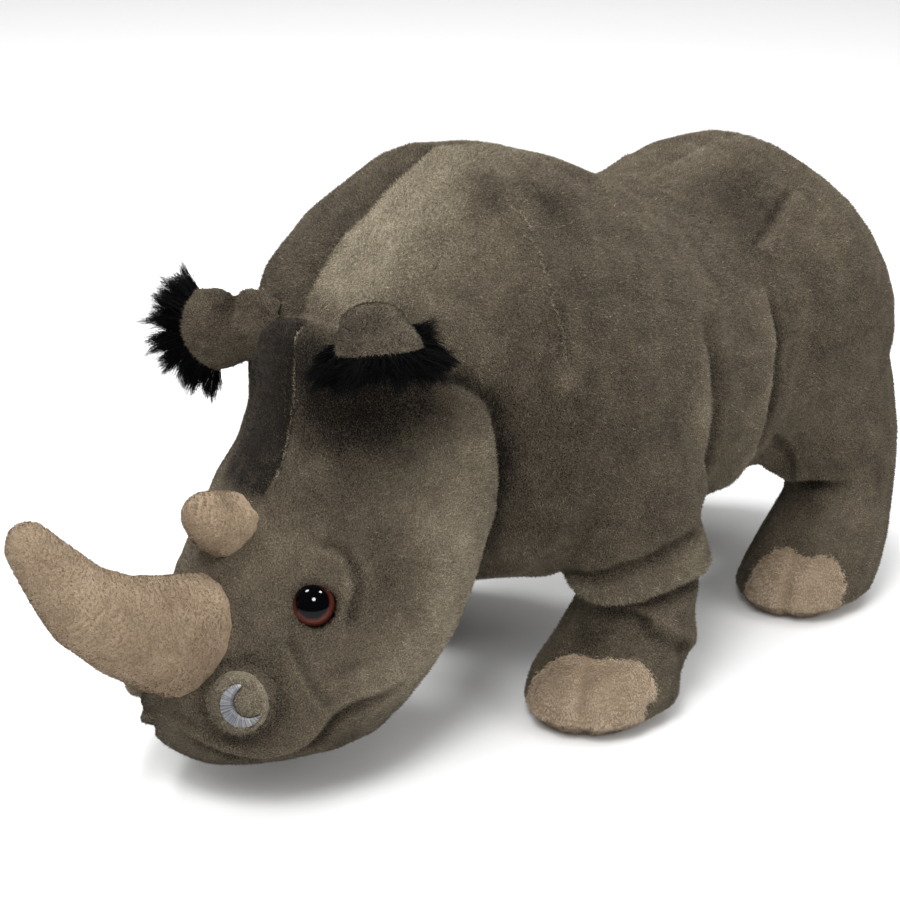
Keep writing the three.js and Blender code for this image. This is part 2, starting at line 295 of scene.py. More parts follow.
def remeshed(nodes, voxel, swell):
    """One even surface round all these CAD nodes."""
    together = bmesh.new()
    me = bpy.data.meshes.new("joined")
    for node in nodes:
        solid = solid_of(node, swell)
        solid.to_mesh(me)
        solid.free()
        together.from_mesh(me)
    together.to_mesh(me)
    together.free()
    obj = linked("joined", me)
    remesh = obj.modifiers.new("even", "REMESH")
    remesh.mode = "VOXEL"
    remesh.voxel_size = voxel
    even = obj.evaluated_get(bpy.context.evaluated_depsgraph_get()).to_mesh()
    vertices = np.empty(3 * len(even.vertices), np.float32)
    even.vertices.foreach_get("co", vertices)
    corners = np.empty(len(even.loops), np.int32)
    even.loops.foreach_get("vertex_index", corners)
    bpy.data.objects.remove(obj)
    bpy.data.meshes.remove(me)
    return Surface(vertices.reshape(-1, 3), corners.reshape(-1, 4)).largest_part()


def nearest_nodes(points, nodes):
    """For each point, which of these CAD nodes is nearest."""
    vertices, faces, owner = [], [], []
    for i, node in enumerate(nodes):
        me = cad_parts[node].data
        start = len(vertices)
        vertices += [v.co[:] for v in me.vertices]
        faces += [[start + k for k in p.vertices] for p in me.polygons]
        owner += [i] * len(me.polygons)
    tree = BVHTree.FromPolygons(vertices, faces)
    return np.array([owner[tree.find_nearest(p)[2]] for p in points.tolist()])


# ---- Seams and folds --------------------------------------------------------------------


class Line:
    """A line laid on a surface, and every vertex's distance and side from it."""

    def __init__(self, points, tree, steps=6):
        found = [tree.find_nearest(p) for p in catmull_rom(points, steps).tolist()]
        self.points = np.array([place for place, *_ in found])
        normals = np.array([normal for _, normal, *_ in found])
        self.aside = unit(np.cross(normals, np.gradient(self.points, axis=0)))

    def measure(self, places, reach):
        """Distance, share of the way along, and side: positive to the left of the line's run."""
        n = len(places)
        best, along, side = np.full(n, reach * 10), np.zeros(n), np.zeros(n)
        low, high = self.points.min(0) - reach, self.points.max(0) + reach
        near = np.nonzero(((places > low) & (places < high)).all(1))[0]
        nearby = places[near]
        count = len(self.points) - 1
        for i in range(count if len(near) else 0):
            start, run = self.points[i], self.points[i + 1] - self.points[i]
            t = np.clip((nearby - start) @ run / max(run @ run, 1e-18), 0, 1)
            off = nearby - start - t[:, None] * run
            distance = np.linalg.norm(off, axis=1)
            closer = distance < best[near]
            chosen = near[closer]
            best[chosen] = distance[closer]
            along[chosen] = (i + t[closer]) / count
            side[chosen] = (off @ self.aside[i])[closer]
        return best, along, side


def faded(along, start, end):
    """1 along the middle of a line and 0 at its ends. A zero length leaves that end at 1."""
    left = smoothstep(0, start, along) if start else 1.0
    right = smoothstep(0, end, 1 - along) if end else 1.0
    return left * right


def fold(surface, line, depth, width, lap=0.0, lap_width=6.0, fade=(0.15, 0.15), waver=0.0):
    """Presses a crease along the line, with sizes in millimetres.

    A lap swells the cloth on the line's left, or on its right if it is negative. Returns how
    deep in the crease each vertex lies and how high on the lap, both from 0 to 1.
    """
    distance, along, side = line.measure(surface.co + waver, 3 * MM * max(width, lap_width))
    strength = faded(along, *fade)
    crease = bell(distance, width * MM) * strength
    swell = np.zeros_like(crease)
    if lap:
        swollen = smoothstep(0, 0.8 * MM, side * math.copysign(1, lap))
        swell = swollen * hump(distance, lap_width * MM) * strength
    surface.push(MM * (abs(lap) * swell - depth * crease))
    return crease, swell


# ---- Materials --------------------------------------------------------------------------


def srgb(*levels):
    """A colour given as 0 to 255 levels of a screen, as linear RGBA."""
    share = np.array(levels) / 255
    linear = np.where(share <= 0.04045, share / 12.92, ((share + 0.055) / 1.055) ** 2.4)
    return (*linear, 1.0)


class Recipe:
    """A material, whose nodes take a dict of inputs: a socket is linked, anything else is set."""

    def __init__(self, name):
        self.material = bpy.data.materials.new(name)
        self.material.use_nodes = True
        self.tree = self.material.node_tree

    def fill(self, node, inputs):
        for name, value in inputs.items():
            if isinstance(value, bpy.types.NodeSocket):
                self.tree.links.new(value, node.inputs[name])
            else:
                node.inputs[name].default_value = value

    def add(self, kind, output, inputs=None, **settings):
        """One output of a new node."""
        node = self.tree.nodes.new(f"ShaderNode{kind}")
        for name, value in settings.items():
            setattr(node, name, value)
        self.fill(node, inputs or {})
        return node.outputs[output]

    def value_of(self, name):
        """A value kept on the mesh's vertices."""
        return self.add("Attribute", "Fac", attribute_name=name)

    def grain(self, scale, detail=2):
        """Noise that is fixed to the model, with this many lumps to a metre."""
        place = self.add("TexCoord", "Object")
        return self.add("TexNoise", "Fac", {"Vector": place, "Scale": scale, "Detail": detail})

    def ramp(self, level, stops):
        """A colour that runs along the stops, each a level and a screen colour."""
        colour = self.add("ValToRGB", "Color", {"Fac": level})
        elements = colour.node.color_ramp.elements
        for element, (position, levels) in zip(elements[:], (stops[0], stops[-1])):
            element.position, element.color = position, srgb(*levels)
        for position, levels in stops[1:-1]:
            elements.new(position).color = srgb(*levels)
        return colour

    def finish(self, colour, roughness, specular, **others):
        shader = self.tree.nodes["Principled BSDF"]
        self.fill(shader, {"Base Color": colour, "Roughness": roughness,
                           "Specular IOR Level": specular})
        self.fill(shader, {name.replace("_", " "): value for name, value in others.items()})
        return self.material


def plush_material(name, stops, sheen, grain=0.16, roughness=0.9, specular=0.1):
    """Plush whose tone runs along the stops by the mesh's "nap" value, with fine grain."""
    recipe = Recipe(name)
    both = recipe.add("Math", 0, {0: recipe.grain(2400, 1), 1: 3.0, 2: recipe.grain(120, 3)},
                      operation="MULTIPLY_ADD")
    change = recipe.add("MapRange", "Result", {"Value": both, "From Min": 1.2, "From Max": 2.8,
                                               "To Min": -grain, "To Max": grain})
    tone = recipe.add("Math", 0, {0: recipe.value_of("nap"), 1: change}, operation="ADD")
    return recipe.finish(recipe.ramp(tone, stops), roughness, specular, Sheen_Weight=sheen,
                         Sheen_Roughness=0.45, Sheen_Tint=(1.0, 0.93, 0.84, 1.0))


def thread_material():
    recipe = Recipe("blue_thread")
    stops = [(0.0, (34, 37, 45)), (0.5, (82, 84, 89)), (1.0, (154, 153, 153))]
    return recipe.finish(recipe.ramp(recipe.value_of("nap"), stops), 0.38, 0.4, Anisotropic=0.6)


def eye_material():
    """Glossy plastic: black over the pupil and red-brown round it, by the mesh's "iris" value."""
    recipe = Recipe("eye_plastic")
    mottle = recipe.add("MapRange", "Result", {"Value": recipe.grain(500), "To Min": -0.03,
                                               "To Max": 0.03})
    level = recipe.add("Math", 0, {0: recipe.value_of("iris"), 1: mottle}, operation="ADD")
    stops = [(0.0, (4, 4, 5)), (0.585, (5, 4, 5)), (0.625, (42, 19, 15)), (0.74, (74, 36, 29)),
             (0.86, (58, 26, 21)), (1.0, (40, 17, 13))]
    return recipe.finish(recipe.ramp(level, stops), 0.04, 0.12)


GREY_PLUSH = plush_material("grey_plush", [
    (0.0, (14, 10, 7)), (0.3, (74, 66, 54)), (0.5, (103, 95, 80)), (1.0, (182, 170, 149)),
], sheen=0.08, grain=0.2)
TAN_PLUSH = plush_material("tan_plush", [
    (0.0, (78, 64, 49)), (0.35, (129, 112, 92)), (0.6, (158, 141, 120)), (1.0, (204, 190, 170)),
], sheen=0.08, grain=0.14)
BLACK_PLUSH = plush_material("black_plush", [
    (0.0, (2, 2, 3)), (0.5, (7, 7, 8)), (0.8, (26, 27, 29)), (1.0, (150, 144, 136)),
], sheen=0.0, roughness=0.7, specular=0.04)
BLUE_THREAD = thread_material()
EYE_PLASTIC = eye_material()
PLUSH = {"grey_plush": GREY_PLUSH, "tan_plush": TAN_PLUSH}  # by the record's material slots

# ---- Brushed nap ------------------------------------------------------------------------

# Spots of painted light and shade on the pile: where the body is lit or shaded, and where
# its brushed nap catches the light or turns from it.
PAINTED_LIGHT_AND_SHADE = [
    (60, 28, 95, 11, 0.08), (66, 10, 50, 9, 0.05), (57, 118, 78, 16, 0.02),
    (45, 109, 131, 20, 0.07), (58, 108, 34, 15, 0.10), (48, 106, 55, 9, -0.10),
    (43, 103, 40, 7, -0.16), (48, -9, 30, 8, -0.15), (54, -28, 97, 26, -0.10),
    (44, -14, 70, 20, -0.05), (42, -48, 88, 12, -0.09), (55, -27, 118, 3.5, 0.14),
]
PAINTED_LIGHT_AND_SHADE_ON_BACK = [
    (5, -42, 163, 20, 0.11), (6, -59, 145, 19, 0.13), (12, -26, 172, 18, 0.10),
    (24, -48, 150, 18, 0.07), (12, 0, 170, 14, 0.05), (24, -28, 167, 6, -0.13),
    (31, -9, 162, 8, -0.12), (5, 90, 151, 16, 0.06), (25, 86, 144, 12, -0.13),
]
# On the head these take in painted shadow under the ears' black fringes.
PAINTED_LIGHT_AND_SHADE_ON_HEAD = [
    (12, -76, 112, 10, -0.24), (27, -66, 113.5, 12, -0.22), (13, -75, 113, 8, -0.06),
    (44, -80, 62, 11, -0.08), (3, -76, 127, 9, -0.14), (-2, -75, 129, 5, -0.08),
    (0, -78, 123, 7, -0.14), (2, -80, 115, 8, -0.13), (4, -83, 106, 8, -0.1),
    (18, -84, 96, 14, -0.10), (18, -100, 76, 12, 0.12), (44, -86, 50, 12, 0.06),
    (32, -93, 67, 5, 0.08), (38, -104, 42, 8, 0.05), (28, -116, 32, 8, -0.04),
    (36, -96, 24, 14, -0.02),
]
BASE_TONE = 0.36
RIGHT_BACK_DARK = 0.07  # the nap right of the spine seam lies away from the light
GUSSET_NAP_SHADE = 0.28  # painted shade: the forehead's middle panel is cut with its nap the other way, turned from the light
GUSSET_HEIGHTS = mm(88, 94, 101, 109, 120, 126, 131)
GUSSET_HALVES = mm(8.0, 8.6, 6.4, 5.3, 4.8, 3.2, 3.2)
CHEEK_LIGHT = 0.25  # the cheeks catch the light towards the head's rear edge
CHEEK_BACK = np.array([0, 0.88, -0.48])  # square to that edge
CHEEK_SPAN = (-112 * MM, -86 * MM)  # where the light starts and is full, measured that way
PAD_SHADOW_RING = (11.8 * MM, 2.6 * MM, -0.12)  # painted shadow in a ring round each nostril's pad
SEAM_EDGE = 0.5 * MM  # over how far the tone changes from one panel to the next


def patches(points, rows, on_head=False):
    """The spots on the animal's left, and the same ones on its right."""
    return spots(points, rows) + spots(mirrored(points, on_head), rows)


def spine_side(points):
    """Distance to the left of the spine seam, which leans to the right over the neck."""
    return points[:, 0] - np.interp(points[:, 1], mm(-68, -44, -24), mm(-13, -5.5, 0))


def gusset_side(points):
    """How far past the forehead gusset's left seam a point is, and its place across the head."""
    upright = tilted(points, -HEAD_TILT)
    half = np.interp(upright[:, 2], GUSSET_HEIGHTS, GUSSET_HALVES)
    return half - upright[:, 0], upright[:, 0]


HEAD_PITCH = math.radians(58)
EYE_YAW = {"left": math.radians(56), "right": math.radians(68)}
EYE_MOVED = (-0.95, 0.57)  # across and up, in millimetres


def head_axes(side, yaw):
    """Across, outward and up at a place on the head's side that is turned by this yaw."""
    left = np.array([1.0, 0, 0])
    out = np.array([0, -math.sin(HEAD_PITCH), math.cos(HEAD_PITCH)])
    up = np.array([0, math.cos(HEAD_PITCH), math.sin(HEAD_PITCH)])
    turn = SIDES[side] * yaw
    across = left * math.cos(turn) - out * math.sin(turn)
    outward = left * math.sin(turn) + out * math.cos(turn)
    axes = np.stack([across, outward, up])
    return tilted(axes, HEAD_TILT) - tilted(np.zeros(3), HEAD_TILT)


def eye_middle(side):
    """Where the drawn eye sits: its solid's middle, moved a little ahead and up in its socket."""
    across, up = EYE_MOVED
    moved = mm(across * SIDES[side], 0, up) @ head_axes(side, EYE_YAW[side])
    return middle_of(f"{side}_eye") + moved


def nap_tone(points, on_head):
    """How light the grey pile is, the same on skin and coat: a base tone, random brushing, and
    painted light and shade.
    """
    spine = smoothstep(-0.6 * MM, 0.6 * MM, spine_side(points))
    back = patches(points, PAINTED_LIGHT_AND_SHADE_ON_BACK) * spine
    back -= RIGHT_BACK_DARK * (1 - spine) * smoothstep(0, -40 * MM, points[:, 1])
    head = patches(points, PAINTED_LIGHT_AND_SHADE_ON_HEAD, True) + 0.02
    height = points[:, 2]
    past_left_seam, across = gusset_side(points)
    gusset = smoothstep(84 * MM, 90 * MM, height) * (points[:, 1] < -70 * MM)
    gusset *= smoothstep(-20 * MM, -12 * MM, across)
    gusset *= smoothstep(-SEAM_EDGE, SEAM_EDGE, past_left_seam)
    head -= gusset * (GUSSET_NAP_SHADE + 0.07 * noise(points, 4 * MM, 37))
    cheek = smoothstep(*CHEEK_SPAN, points @ CHEEK_BACK)
    cheek *= smoothstep(16 * MM, 32 * MM, np.abs(across))
    cheek *= smoothstep(114 * MM, 98 * MM, height) * smoothstep(22 * MM, 42 * MM, height)
    head += CHEEK_LIGHT * cheek
    for side in SIDES:
        head += ring(points, middle_of(f"{side}_nostril"), *PAD_SHADOW_RING)
    brushing = noise(points, 17 * MM, 1) + 0.4 * noise(points, 8 * MM, 2)
    return (BASE_TONE + patches(points, PAINTED_LIGHT_AND_SHADE) + np.where(on_head, head, back)
            + 0.028 * np.tanh(2 * brushing) + 0.016 * noise(points, 3 * MM, 3))


# ---- The skin ---------------------------------------------------------------------------

FLESH = ["head", "neck", "trunk"]
FLESH += [f"{foot}_{part}" for foot in FEET for part in ("leg", "toes", "sole")]
HEAD = FLESH.index("head")

# Each fold: its places, depth, width, lap, how far the lap reaches, and how its ends fade.
BODY_FOLDS = {
    "shoulder dart": ([(27, -24, 168), (36, -23, 161), (46, -25, 148), (52, -27, 135),
                       (55, -27, 121)], 0.9, 1.2, 0, 6, (0.1, 0.2)),
    "hip dart": ([(32, 105, 143), (33.4, 100, 142), (35, 94, 139.4), (36.3, 87.5, 136),
                  (38.5, 79.5, 133), (40, 75, 131)], 1.5, 1.3, 1.5, 4.5, (0.15, 0.15)),
    "shoulder fold": ([(52, 35, 127), (57, 34, 116), (60, 34.5, 103), (60, 35, 90),
                       (57, 35, 76), (52, 34, 66)], 2.2, 4.0, -1.8, 8, (0.35, 0.15)),
    "belly edge": ([(46, 73, 128), (50, 73, 117), (53, 72.5, 108), (55, 70.5, 99),
                    (54.5, 69, 88), (53.5, 68.5, 79), (50, 69, 69), (44, 71, 60),
                    (34, 73, 50)], 3.2, 2.6, -2.4, 9, (0.3, 0.1)),
    "thigh ridge": ([(49, 79, 70), (46.5, 84, 66), (43, 97, 54), (41, 104, 47)],
                    1.2, 1.6, 1.0, 4, (0.2, 0.2)),
    "knee": ([(28, 100, 46), (36, 103, 46), (42, 105, 45.5), (47, 106.5, 44.5),
              (53, 109, 44.5), (60, 118, 46)], 2.8, 2.4, 1.4, 6, (0.1, 0.5)),
    "upper cuff": ([(34, -6, 46), (42, -9, 47.5), (51, -10, 49.5), (60, -7, 53.5),
                    (65.5, 0, 56.5), (68, 11, 59), (67, 21, 59.5), (60, 33, 58)],
                   2.0, 1.8, -1.4, 5, (0.25, 0.25)),
    "lower cuff": ([(28, 2, 40), (40, -5, 40), (46, -6.5, 39.5), (52, -6.5, 39), (57.5, -4.5, 40),
                    (63, -1, 41), (66.5, 4, 42.7), (68.5, 11, 43.8), (68, 20, 43), (61, 32, 42),
                    (50, 38, 41)], 2.7, 2.3, 1.9, 6, (0.28, 0.2)),
    "ankle crease": ([(40, -3, 33.5), (51, -5.5, 35.5), (59, -3, 37), (65, 1.5, 32),
                      (69.5, 7, 28), (70.5, 13, 23), (69.5, 21, 18.5), (62, 32, 16)],
                     2.0, 2.0, 1.3, 5, (0.3, 0.5)),
}
HEAD_FOLDS = {
    "forehead seam": ([(-5, -73.5, 131.5), (-5.2, -75.5, 127), (-2.5, -80, 120), (-1.5, -82, 112),
                       (0, -84.5, 105), (1.5, -87.5, 100), (3.7, -91.5, 95), (4.4, -94.5, 91.5)],
                      0.7, 1.1, 0, 6, (0, 0.1)),
    "brow": ([(20, -97, 79), (23.5, -94.8, 78.6), (27.4, -92, 77.4), (31.2, -90.7, 74),
              (34, -91.2, 69.5), (36, -92.6, 65), (36.7, -95.3, 60), (36.5, -98, 57)],
             1.9, 1.5, -1.3, 2.6, (0.3, 0.2)),
    "cheek crease": ([(27, -110.5, 57), (29, -110, 53.4), (32.8, -110.3, 47.6), (37.7, -108, 40),
                      (39.5, -106, 37)], 1.2, 1.0, -0.9, 3, (0.3, 0.15)),
    "cheek pucker": ([(35, -108, 44), (39.2, -101.8, 46.2), (40.7, -98.2, 47), (41.6, -95, 48.4)],
                     1.0, 1.4, -0.7, 4, (0.3, 0.3)),
    "lip crease": ([(3, -136, 34), (7, -135, 32.5), (12, -133.5, 31), (17, -131, 29),
                    (24, -126, 27.5), (30, -119, 27.5)], 1.0, 1.6, 0, 4, (0.3, 0.3)),
    "mouth": ([(2, -136, 28.5), (10, -135, 26.5), (16, -132.3, 24),
               (22, -126.5, 21.3), (26.5, -120, 20.3), (31.5, -114, 21.5), (34.7, -110.8, 24),
               (38, -107.5, 28.5), (40.5, -104.5, 33), (42.5, -99.5, 35.5), (45, -89.5, 36),
               (45.5, -83.5, 38), (46, -77, 42)], 2.6, 1.8, 1.8, 3.6, (0.25, 0.3)),
}
SPINE = [(-10, -66, 135), (-6, -54, 154), (-5, -44, 162), (-1, -24, 176), (0, 0, 171),
         (0, 40, 149), (0, 75, 149), (0, 105, 153), (0, 140, 140), (0, 160, 110)]
ONE_SIDED = "forehead seam"
THREADS = {"shoulder dart": 0.42, "forehead seam": 0.8}  # how light the backing in the seam is
RUFFLED = "lower cuff"  # where the pile on the lap hangs over the crease
PAINTED_CREASE_SHADE = 0.07  # how much painted shade darkens the nap for each millimetre of a crease's depth
PAINTED_LAP_LIGHT = 0.05  # and how much painted light brightens it for each millimetre that a lap swells
WAVER = 0.8 * MM  # how far a fold's edge strays from its line
SEAM_EVENING = 10  # rounds that even out the head's seam, which starts on the remesh's steps
NAPE = (118 * MM, 128 * MM)  # the heights between which that seam dies out
HEAD_SEAM = 2.2  # how deep it is sunk
HEAD_SAG = 0.9  # and how much the neck's cloth sinks behind it
EVENING = 34  # rounds of smoothing, which take out the remesh's steps
SPINE_SEAM = (0.6, 1.3)  # depth and width
SOCKET = (5.0 * MM, 2.0 * MM, -0.4 * MM)  # the ring pressed in round each eye
SOCKET_SHADE = (6.2 * MM, 1.6 * MM, 0.1)  # and the dark ring there
SLACK = 0.35 * MM  # how far the stuffing's small lumps lift or drop the cloth
TOE_PUFF = 0.9
TOE_CREASE = 0.8
SOLE_SEAM = 0.4

# Where the stuffing pushes the cloth out or leaves it slack: place, radius and amount.
LUMPS = [
    (6, -134, 22, 8, -1.1), (42, 97, 38, 7, -1.2), (45, -64, 64, 14, 0.8),
    (60, 33, 50, 8, 0.8), (69.8, 9, 9, 6, 1.8), (70, 11, 18.5, 6, -2.8),
    (71, 13.5, 27, 6, -1.0), (67, 17.5, 15.5, 5, -0.9), (65, 26.5, 34, 7, -2.1),
    (61.5, 31, 60, 6, -2.1), (42, 79.5, 57, 10, -1.6), (33.2, -6, 26, 8, -2.6),
    (22, -31, 49, 12, -2.4), (36, -12, 46, 7, 2.0), (55, 129, 89, 8, 1.3),
    (60.5, 128, 60, 14, -1.0),
]
# Where the cloth hangs or is drawn up before the knee: place, radius and how it moves.
DRAPES = [
    ((37, 102.5, 50), 8, (0.5, -1.5, -5.6)),
    ((26, 95.5, 44.5), 9, (0, 0, 4.2)),
    ((33, 89, 49.5), 6.5, (0, 0, 2.0)),
]


def laid(rows, tree, on_head):
    """Each named row's line on the left and on the right. The forehead has only the one seam."""
    for name, (points, *sizes) in rows.items():
        places = np.array(points, float) * MM
        yield name, Line(places, tree), sizes, 1
        if name != ONE_SIDED:
            yield name, Line(mirrored(places, on_head), tree), sizes, -1


def press_folds(skin, rows, on_head, shade, ruffle):
    """Presses every fold, and adds up the painted shade in its crease and the painted light on its
    lap.
    """
    tree = skin.tree()
    stray = WAVER * np.stack([noise(skin.co, 7 * MM, seed) for seed in (91, 92, 93)], 1)
    for name, line, (depth, width, lap, lap_width, fade), turn in laid(rows, tree, on_head):
        waver = 0.0 if name in THREADS else stray
        crease, swell = fold(skin, line, depth, width, turn * lap, lap_width, fade, waver)
        shade += PAINTED_LAP_LIGHT * abs(lap) * swell - PAINTED_CREASE_SHADE * depth * crease
        if name == RUFFLED:
            ruffle += swell


def edge_distance(skin, inside, far=30 * MM):
    """Each vertex's distance from the border of the marked vertices, near that border."""
    a, b = skin.edges.T
    across = inside[a] != inside[b]
    distance = np.full(len(skin.co), far)
    distance[skin.edges[across].ravel()] = 0.4 * SKIN_VOXEL
    length = away(skin.co[a], skin.co[b])
    for _ in range(12):
        reached = distance.copy()
        np.minimum.at(reached, a, distance[b] + length)
        np.minimum.at(reached, b, distance[a] + length)
        distance = reached
    return distance


TOE_TURN = {"front": math.radians(30), "hind": math.radians(24)}  # the feet point out
FOOT_REACH = 45 * MM


def foot_centre(foot):
    return middle_of(f"{foot}_sole")


def toe_across(points, foot):
    """Distance across the foot from the crease between its two toes, and along the foot."""
    out = math.copysign(1, foot_centre(foot)[0])
    turn = TOE_TURN[foot.split("_")[0]]
    ahead = np.array([out * math.sin(turn), -math.cos(turn), 0])
    across = np.array([ahead[1], -ahead[0], 0])
    off = points - foot_centre(foot)
    return off @ across, off @ ahead


def shape_feet(skin, owner):
    """Puffs the toe caps up and presses the crease between the toes and the seam of the sole."""
    for foot in FEET:
        toes = owner == FLESH.index(f"{foot}_toes")
        near = away(skin.co, foot_centre(foot)) < FOOT_REACH
        border = edge_distance(skin, toes)
        inner = smoothstep(0, 4 * MM, border) * toes
        across, ahead = toe_across(skin.co, foot)
        crease = bell(across, 1.5 * MM) * smoothstep(8 * MM, 16 * MM, ahead)
        crease *= smoothstep(30 * MM, 22 * MM, skin.co[:, 2]) * near
        rim = bell(border, 1.4 * MM) * near
        skin.push(MM * (TOE_PUFF * inner - TOE_CREASE * crease - SOLE_SEAM * rim))


def press_head_seam(skin, owner):
    """Sinks the seam behind the head, swells the head's edge over it, and returns its shade."""
    head = owner == HEAD
    signed = skin.spread(np.where(head, 1, -1) * edge_distance(skin, head), SEAM_EVENING)
    seam, ahead = np.abs(signed), signed > 0
    behind = 1 - ahead
    below_nape = 1 - smoothstep(*NAPE, skin.co[:, 2])
    sunk = HEAD_SEAM * bell(seam, 2.0 * MM) + HEAD_SAG * bell(seam, 5 * MM) * behind
    skin.push(-MM * sunk * (0.35 + 0.65 * below_nape))
    skin.push(MM * ahead * hump(seam, 5 * MM))
    shade = -0.16 * bell(seam, 2.0 * MM) - 0.08 * bell(seam, 9 * MM) * behind
    return shade * (0.1 + 0.9 * below_nape)


def make_skin():
    skin = remeshed(FLESH, SKIN_VOXEL, SEAM_CLOSING)
    owner = nearest_nodes(skin.co, FLESH)
    skin.smooth(EVENING)
    shade = press_head_seam(skin, owner)
    ruffle = np.zeros(len(skin.co))
    press_folds(skin, BODY_FOLDS, False, shade, ruffle)
    press_folds(skin, HEAD_FOLDS, True, shade, ruffle)
    fold(skin, Line(np.array(SPINE) * MM, skin.tree()), *SPINE_SEAM)
    shape_feet(skin, owner)
    for side in SIDES:
        shade -= ring(skin.co, eye_middle(side), *SOCKET_SHADE)
        skin.push(ring(skin.co, eye_middle(side), *SOCKET))
    for *place, radius, amount in LUMPS:
        place = mm(*place)
        for centre in (place, mirrored(place, place[1] < -50 * MM)):
            skin.push_spot(centre, radius, amount)
    for place, radius, move in DRAPES:
        for hand in (mm(1, 1, 1), mm(-1, 1, 1)):
            near = bell(away(skin.co, place * hand), radius * MM)
            skin.co += near[:, None] * move * hand
    lumps = noise(skin.co, 22 * MM, 5) + 0.4 * noise(skin.co, 9 * MM, 6)
    skin.push(SLACK * lumps)
    skin.smooth(2)
    return skin, owner, shade, ruffle


ANKLE = 26 * MM  # the feet's short pile and the toes are below this
FACE_Y = -85 * MM  # the face's short pile is ahead of this
TAN_EDGE = (0.44, 0.56)  # the shares of tan between which the coat changes colour
TAN_ROUNDS = 5  # rounds that soften the tan's border
PILE_ROUNDS = 6  # and those that even the change from one pile's height to another's
SOLE_LIFT = 0.5 * MM  # the skin's lowest place, which leaves the pile room on the floor
TAN_SKIN = 0.3
SHADED = 0.14  # how much darker the skin is than its pile


def owned_by(*endings):
    return np.isin(owner, [i for i, node in enumerate(FLESH) if node.endswith(endings)])


def tan_vertices():
    """The toe caps and soles. The caps' tops are scalloped: two lobes that meet in a notch."""
    tan = owned_by("_toes", "_sole")
    for foot in FEET:
        across, ahead = toe_across(skin.co, foot)
        on_toes = (ahead > 8 * MM) & (ahead < 40 * MM) & low_down
        notch = on_toes & (np.abs(across) < 4 * MM)
        tan |= notch & (edge_distance(skin, tan) < 1.6 * MM)
        if "front" in foot:
            inward = math.copysign(1, foot_centre(foot)[0]) * across
            reach = np.where(inward < -4 * MM, 3.2 * MM, 2.4 * MM)
            above = on_toes & ((skin.co[:, 2] > 13 * MM) | (inward > 9 * MM))
            tan |= above & (edge_distance(skin, tan) < reach)
    return tan.astype(float)


skin, owner, fold_shade, ruffle = make_skin()
low_down = skin.co[:, 2] < ANKLE
tan_share = skin.spread(tan_vertices(), TAN_ROUNDS)
is_tan = tan_share > 0.5
tan_share = smoothstep(*TAN_EDGE, tan_share)
on_head = owner == HEAD
is_face = on_head & (skin.co[:, 1] < FACE_Y)
height = np.select([is_tan, is_face, low_down & ~on_head],
                   [PILES[kind].height for kind in ("cap", "face", "foot")], PILES["body"].height)
skin.push(-skin.spread(height * MM, PILE_ROUNDS))
skin.co[:, 2] = np.maximum(skin.co[:, 2], SOLE_LIFT)
skin_normals = skin.normals()
skin_tree = skin.tree()
tone = nap_tone(skin.co, on_head) + fold_shade
tan_faces = is_tan[skin.quads].sum(1) > 2
skin_piece = mesh_object("plush_skin", skin.co, skin.quads, [GREY_PLUSH, TAN_PLUSH], tan_faces)
keep_values(skin_piece, "nap", np.where(is_tan, TAN_SKIN, tone - SHADED))
finished(skin_piece, "grey_plush", *FLESH, fill=0.85)

# ---- Coats ------------------------------------------------------------------------------

PATCH = 0.0015  # half the width of a tuft's patch on the bake's map
GLINTS = 0.014  # the share of tufts whose tips catch the light
TUFT_ROOT = 0.25 * MM  # how far a tuft starts under the skin
TUFT_SHADES = np.array([-0.1, -0.1, 0.05])  # painted shade at its two root corners, deep in the pile, and painted light at its tip


def sown(surface, weight, density, seed):
    """Evenly sown places, each a triangle's corners and their shares, thinned by the weight."""
    a, b, c, d = (surface.co[surface.quads[:, i]] for i in range(4))
    corners = np.concatenate([surface.quads[:, [0, 1, 2]], surface.quads[:, [0, 2, 3]]])
    crossed = np.concatenate([np.cross(b - a, c - a), np.cross(c - a, d - a)])
    area = 0.5 * np.linalg.norm(crossed, axis=1)
    wanted = np.cumsum(area * weight[corners].mean(1)) * density * SQUARE_METRE * SHARE
    random = np.random.default_rng(seed)
    ticks = np.arange(int(wanted[-1])) + random.random(int(wanted[-1]))
    face = np.minimum(np.searchsorted(wanted, ticks), len(area) - 1)
    u, v = random.random((2, len(face)))
    over = u + v > 1
    u, v = np.where(over, 1 - u, u), np.where(over, 1 - v, v)
    return corners[face], np.stack([1 - u - v, u, v], 1), random


def blended(values, corners, parts):
    """Values of the vertices, taken at sown places."""
    picked = values[corners]
    return (picked * parts.reshape(parts.shape + (1,) * (picked.ndim - 2))).sum(1)


def chart(places, normals):
    """An unwrap of the skin's own shape: six flat charts, one for each way that a surface faces."""
    axis = np.abs(normals).argmax(1)
    faces_up = normals[np.arange(len(places)), axis] > 0
    low = places.min(0)
    flat = (places - low) / max((places.max(0) - low).max(), 1e-6)
    u = np.where(axis == 0, flat[:, 1], flat[:, 0])
    v = np.where(axis == 2, flat[:, 1], flat[:, 2])
    return np.stack([(axis + 0.03 + 0.94 * u) / 3, (faces_up + 0.03 + 0.94 * v) / 2], 1)


def bake_map(obj, places, normals, per_tuft, faces):
    """The OFBake map: every tuft is a small patch at its root's place on the unwrap."""
    at = np.repeat(chart(places, normals), per_tuft, axis=0)
    turn = np.tile(np.arange(per_tuft) * 2 * math.pi / per_tuft, len(places))
    at += PATCH * np.stack([np.cos(turn), np.sin(turn)], 1)
    layer = obj.data.uv_layers.new(name="OFBake")
    layer.uv.foreach_set("vector", at[faces.ravel()].astype(np.float32).ravel())


def lay_along(normals, direction):
    """The direction laid flat on each place's surface."""
    return unit(direction - normals * (direction * normals).sum(1, keepdims=True))


